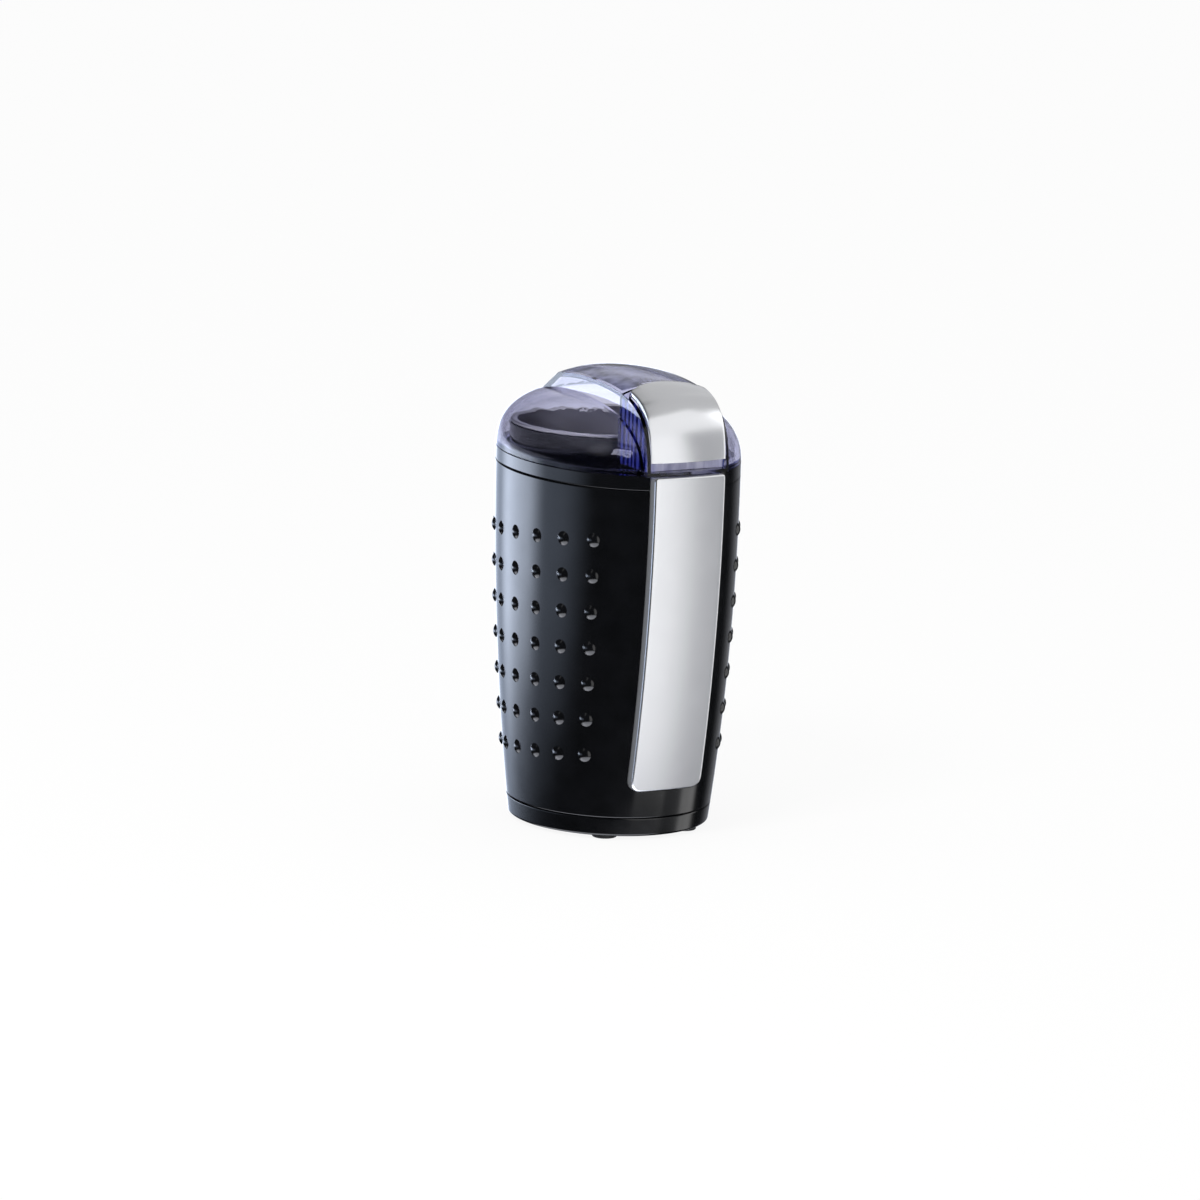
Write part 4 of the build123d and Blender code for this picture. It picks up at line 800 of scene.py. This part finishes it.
sleeves = joined("panel_sleeves", guides)
dress(sleeves, silver, "press_button", "silver_abs")
dress(panel, silver, "press_button", "silver_abs", "press_panel")
print("panel made")

# fluted side walls of the press chamber: the deepest tint of the lid
flutes = {
    "outer": 16.89, "inner": 16.845, "depth": 0.025, "wander": 2.1, "low": 151.9, "front": -56.5,
    "back": -34.8, "share": 0.92, "columns": 64,
}


# height of the hump's inside above a place on the chamber's side wall
def chamberTop(y):
    line = sideView(flutes["share"], hump["wall"], flutes["low"], hump, plainBack)[1:curveSteps + 1]
    for (y1, z1), (y2, z2) in zip(line, line[1:]):
        if y1 <= y <= y2:
            return z1 + (z2 - z1) * (y - y1) / max(y2 - y1, 0.001)
    return line[0][1]


for side in (-1, 1):
    rings = []
    for i in range(flutes["columns"] + 1):
        y = flutes["front"] + (flutes["back"] - flutes["front"]) * i / flutes["columns"]
        wave = cos(2 * pi * (y + sin(y / flutes["wander"])) / flutePitch)
        inner = flutes["inner"] + flutes["depth"] * wave
        top = chamberTop(y)
        plan = ((flutes["outer"], flutes["low"]), (flutes["outer"], top), (inner, top), (inner, flutes["low"]))
        rings.append([(side * x, y, z) for x, z in plan])
    flute = makeMesh("chamber_flutes", *skin(rings))
    dress(flute, flutedPlastic, "lid", "clear_tinted_plastic")

# frosted lining under the roof of the hump
roof = {
    "half": 15.6, "inset": 1.85, "thick": 0.15, "front": -32.5, "back": 24.0, "low": 165.0, "columns": 16,
}
rings = []
for i in range(roof["columns"] + 1):
    x = roof["half"] * (2 * i / roof["columns"] - 1)
    line = sideView(abs(x) / hump["half"], roof["inset"], body["rim"], hump, humpBack)
    line = [(x, y, z) for y, z in line if roof["front"] < y < roof["back"] and z > roof["low"]]
    rings.append(line + [(x, y, z - roof["thick"]) for x, y, z in reversed(line)])
lining = makeMesh("hump_lining", *skin(rings))
dress(lining, frosted, "lid", "clear_tinted_plastic")
print("lid linings made")

# springs, wound at their rest length; in use they shorten by the listed travel of what presses them
springs = {
    "wire": 0.6, "turns": 5, "travel": 3.0, "button": (3.6, 153.45, 165.75), "plunger": (3.2, 132.1, 146.6),
}
radius, low, high = springs["button"]
pair = []
for side in (-1, 1):
    spot = (side * sleeve["x"], sleeve["y"])
    pair.append(coil("spring", spot, radius, springs["wire"], low, high, springs["turns"]))
upper = joined("button_springs_wound", pair, 60)
dress(upper, slots["spring_steel"], "lid", "spring_steel", "button_springs")
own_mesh(upper)
radius, low, high = springs["plunger"]
spot = (0, plunger["y"])
lower = coil("plunger_spring_wound", spot, radius, springs["wire"], low, high, springs["turns"])
dress(lower, slots["spring_steel"], "base_unit", "spring_steel", "plunger_spring")
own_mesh(lower)
print("springs made")

# drawn cup: rolled lip, straight wall and a round corner into the floor
steel = {
    "radius": 34.2, "wall": 0.8, "floor": 110.5, "corner": 9.0, "hole": 6.1, "lip": 36.8, "lipLow": 159.2,
    "top": 160.5,
}
outer = steel["radius"] + steel["wall"]


def cupCorner(radius, bend, turns):
    middle = (radius - bend, steel["floor"] + steel["corner"])
    return [(middle[0] + bend * cos(radians(a)), middle[1] - bend * sin(radians(a))) for a in turns]


profile = cupCorner(steel["radius"], steel["corner"], range(0, 91, 15))
profile += [(steel["hole"], steel["floor"]), (steel["hole"], steel["floor"] - steel["wall"])]
profile += cupCorner(outer, steel["corner"] + steel["wall"], range(90, -1, -15))
profile += [
    (outer, steel["lipLow"]), (steel["lip"] - 0.3, steel["lipLow"]), (steel["lip"], steel["lipLow"] + 0.3),
    (steel["lip"], steel["top"] - 0.4), (steel["lip"] - 0.4, steel["top"]),
    (steel["radius"] + 0.7, steel["top"]), (steel["radius"] + 0.3, steel["top"] - 0.15),
    (steel["radius"], steel["top"] - 0.5),
]
cup = lathe("steel_cup", profile, steps=128, sharp=40)
dress(cup, cupSteel, "base_unit", "cup_steel", "grinding_cup")
print("cup made")

# plain pale floor: white to the eye and through the lid, absent from mirrors, and it keeps the shadow
floorSize = 7000
floorColour, shader = newMaterial("white sweep", "#f6f6f5", 0.9)
paper = addNode(floorColour, "ShaderNodeEmission", Color=(1, 1, 1, 1), Strength=1.0)
gone = addNode(floorColour, "ShaderNodeBsdfTransparent")
seen = addNode(floorColour, "ShaderNodeLightPath")
toEye = calculate(floorColour, "MAXIMUM", seen.outputs["Is Camera Ray"], seen.outputs["Is Transmission Ray"])
toEye = calculate(floorColour, "MULTIPLY", toEye, 0.9)
mirrorRay = calculate(floorColour, "SUBTRACT", seen.outputs["Is Glossy Ray"], seen.outputs["Is Transmission Ray"])
sheet = mixShaders(floorColour, toEye, shader.outputs["BSDF"], paper.outputs["Emission"])
sheet = mixShaders(floorColour, mirrorRay, sheet, gone.outputs["BSDF"])
floorColour.node_tree.links.new(sheet, floorColour.node_tree.nodes["Material Output"].inputs["Surface"])
corners = [(x * floorSize, y * floorSize, 0) for x, y in ((-1, -1), (1, -1), (1, 1), (-1, 1))]
floor = makeMesh("floor", corners, [(0, 1, 2, 3)])
floor.data.materials.append(floorColour)

# viewing angle in degrees, distance in metres, focal length in sensor widths, aim in millimetres
view = {
    "azimuth": -28.5, "elevation": 11.4, "roll": 1.6, "distance": 3.07, "focal": 7660 / 1200, "aim": (-5.4, 88.7),
}
azimuth, elevation, roll = (radians(view[key]) for key in ("azimuth", "elevation", "roll"))
back = Vector((sin(azimuth) * cos(elevation), -cos(azimuth) * cos(elevation), sin(elevation)))
right = Vector((cos(azimuth), sin(azimuth), 0))
up = back.cross(right)
target = (right * view["aim"][0] + Vector((0, 0, view["aim"][1]))) * mm

# the studio: white air that lights the object, and for mirror rays a dark room with soft windows
world = bpy.data.worlds.new("studio")
bpy.context.scene.world = world
world.use_nodes = True
openAir = world.node_tree.nodes["Background"]
openAir.inputs["Color"].default_value = (1, 1, 1, 1)
openAir.inputs["Strength"].default_value = 0.8
way = addNode(world, "ShaderNodeTexCoord").outputs["Generated"]
rise = addNode(world, "ShaderNodeSeparateXYZ", Vector=way).outputs["Z"]
rise = addNode(world, "ShaderNodeMath", {"operation": "ARCSINE"}, Value=rise).outputs["Value"]


def fade(value, start, end, low, high):
    return addNode(
        world, "ShaderNodeMapRange", {"interpolation_type": "SMOOTHSTEP"}, Value=value,
        From_Min=start, From_Max=end, To_Min=low, To_Max=high,
    ).outputs["Result"]


def along(vector):
    node = addNode(world, "ShaderNodeVectorMath", {"operation": "DOT_PRODUCT"})
    world.node_tree.links.new(way, node.inputs[0])
    node.inputs[1].default_value = vector
    return node.outputs["Value"]


# soft-edged light between angles; turn 0 is the front and grows towards +X
def window(turn, half, soft, low, high, softRise, tint, strength, lean=0.0):
    facing = radians(turn)
    across = along((cos(facing), sin(facing), 0))
    off = calculate(world, "ARCTAN2", across, along((sin(facing), -cos(facing), 0)))
    off = calculate(world, "ADD", off, calculate(world, "MULTIPLY", rise, lean))
    off = calculate(world, "ABSOLUTE", off)
    amount = fade(off, radians(half - soft), radians(half + soft), strength, 0.0)
    bottom = fade(rise, radians(low - softRise), radians(low + softRise), 0.0, 1.0)
    top = fade(rise, radians(high - softRise), radians(high + softRise), 1.0, 0.0)
    amount = calculate(world, "MULTIPLY", calculate(world, "MULTIPLY", amount, bottom), top)
    node = addNode(world, "ShaderNodeVectorMath", {"operation": "SCALE"}, Scale=amount)
    node.inputs[0].default_value = colour(tint)[:3]
    return node.outputs["Vector"]


# turn, half width and softness in degrees, low, high and softness in degrees, tint, strength, lean
lights = {
    "left wall": (-152, 58, 16, -17.5, -3, 5, "#cbdaf4", 1.45),
    "softbox": (-150, 19, 9, -14.3, -5, 2.2, "#d9e4f8", 4.6),
    "far edge": (157, 12, 4, -26, -5, 3, "#eef3fb", 1.5),
    "highlight": (-85, 9, 5, 28, 52, 8, "#ffffff", 0.6),
    "table glow": (-62, 100, 14, -95, -42, 7, "#f2f5ff", 3.6),
    "strip card": (4, 22, 3, -34, 15, 2, "#ffffff", 1.25, 0.235),
    "strip fill": (43.5, 17.5, 3, -34, 15, 2, "#fbfcff", 0.44, 0.235),
    "strip right rim": (74, 12, 5, -34, 38, 5, "#ffffff", 1.7),
    "panel card": (20, 42, 4, 15, 54, 2, "#ffffff", 1.1),
    "ceiling": (65, 65, 4, 52, 86, 3, "#ffffff", 0.6),
    "right ceiling": (97, 34, 3, 22, 52, 3, "#ffffff", 0.6),
    "rear ceiling": (145, 15, 4, 14, 74, 4, "#ffffff", 0.6),
    "right wall": (140, 22, 14, -40, 20, 12, "#f4f6ff", 0.3),
}
ceilingLight = (0, 200, 1, 34, 95, 10, "#ffffff", 1.6)  # lights the steel cup through the lid
lidCone = {"outer": 0.8, "inner": 0.93, "dim": 0.5}  # cosines round the main line of view
total = addNode(world, "ShaderNodeRGB").outputs["Color"]
total.default_value = (0.018, 0.019, 0.021, 1)


def withWindow(light, *glow):
    node = addNode(world, "ShaderNodeVectorMath", {"operation": "ADD"})
    world.node_tree.links.new(light, node.inputs[0])
    world.node_tree.links.new(window(*glow), node.inputs[1])
    return node.outputs["Vector"]


for glow in lights.values():
    total = withWindow(total, *glow)
mirrored = addNode(world, "ShaderNodeBackground", Color=total)
rays = addNode(world, "ShaderNodeLightPath")
# rays that the lid bends far off the line of view end in the dark room, which draws its outlines
straight = along(tuple(-back))
turned = fade(straight, lidCone["outer"], lidCone["inner"], 1.0, 0.0)
bent = calculate(world, "MULTIPLY", rays.outputs["Is Transmission Ray"], turned)
gloss = calculate(world, "SUBTRACT", rays.outputs["Is Glossy Ray"], rays.outputs["Is Transmission Ray"])
dim = addNode(world, "ShaderNodeBackground", Color=withWindow(total, *ceilingLight), Strength=lidCone["dim"])
air = mixShaders(world, gloss, openAir.outputs["Background"], mirrored.outputs["Background"])
air = mixShaders(world, bent, air, dim.outputs["Background"])
world.node_tree.links.new(air, world.node_tree.nodes["World Output"].inputs["Surface"])

lamp = {"size": 0.35, "power": 6.0, "place": (-0.75, -0.45, 0.95), "aim": (0, 0, 0.12)}
key = bpy.data.lights.new("key", "AREA")
key.size = lamp["size"]
key.energy = lamp["power"]
keyLight = bpy.data.objects.new("key", key)
keyLight.location = lamp["place"]
keyLight.rotation_euler = (Vector(lamp["place"]) - Vector(lamp["aim"])).to_track_quat("Z", "Y").to_euler()
keyLight.visible_glossy = False
keyLight.visible_camera = False
bpy.context.scene.collection.objects.link(keyLight)
print("floor and light made")

lens = bpy.data.cameras.new("camera")
camera = bpy.data.objects.new("camera", lens)
bpy.context.scene.collection.objects.link(camera)
lens.sensor_width = 36
lens.lens = 36 * view["focal"]
lens.clip_end = 50
camX = right * cos(roll) + up * sin(roll)
camY = up * cos(roll) - right * sin(roll)
turnTo = Matrix((camX, camY, back)).transposed().to_4x4()
camera.matrix_world = Matrix.Translation(target + back * view["distance"]) @ turnTo
bpy.context.scene.camera = camera
bpy.context.scene.view_settings.view_transform = "Standard"
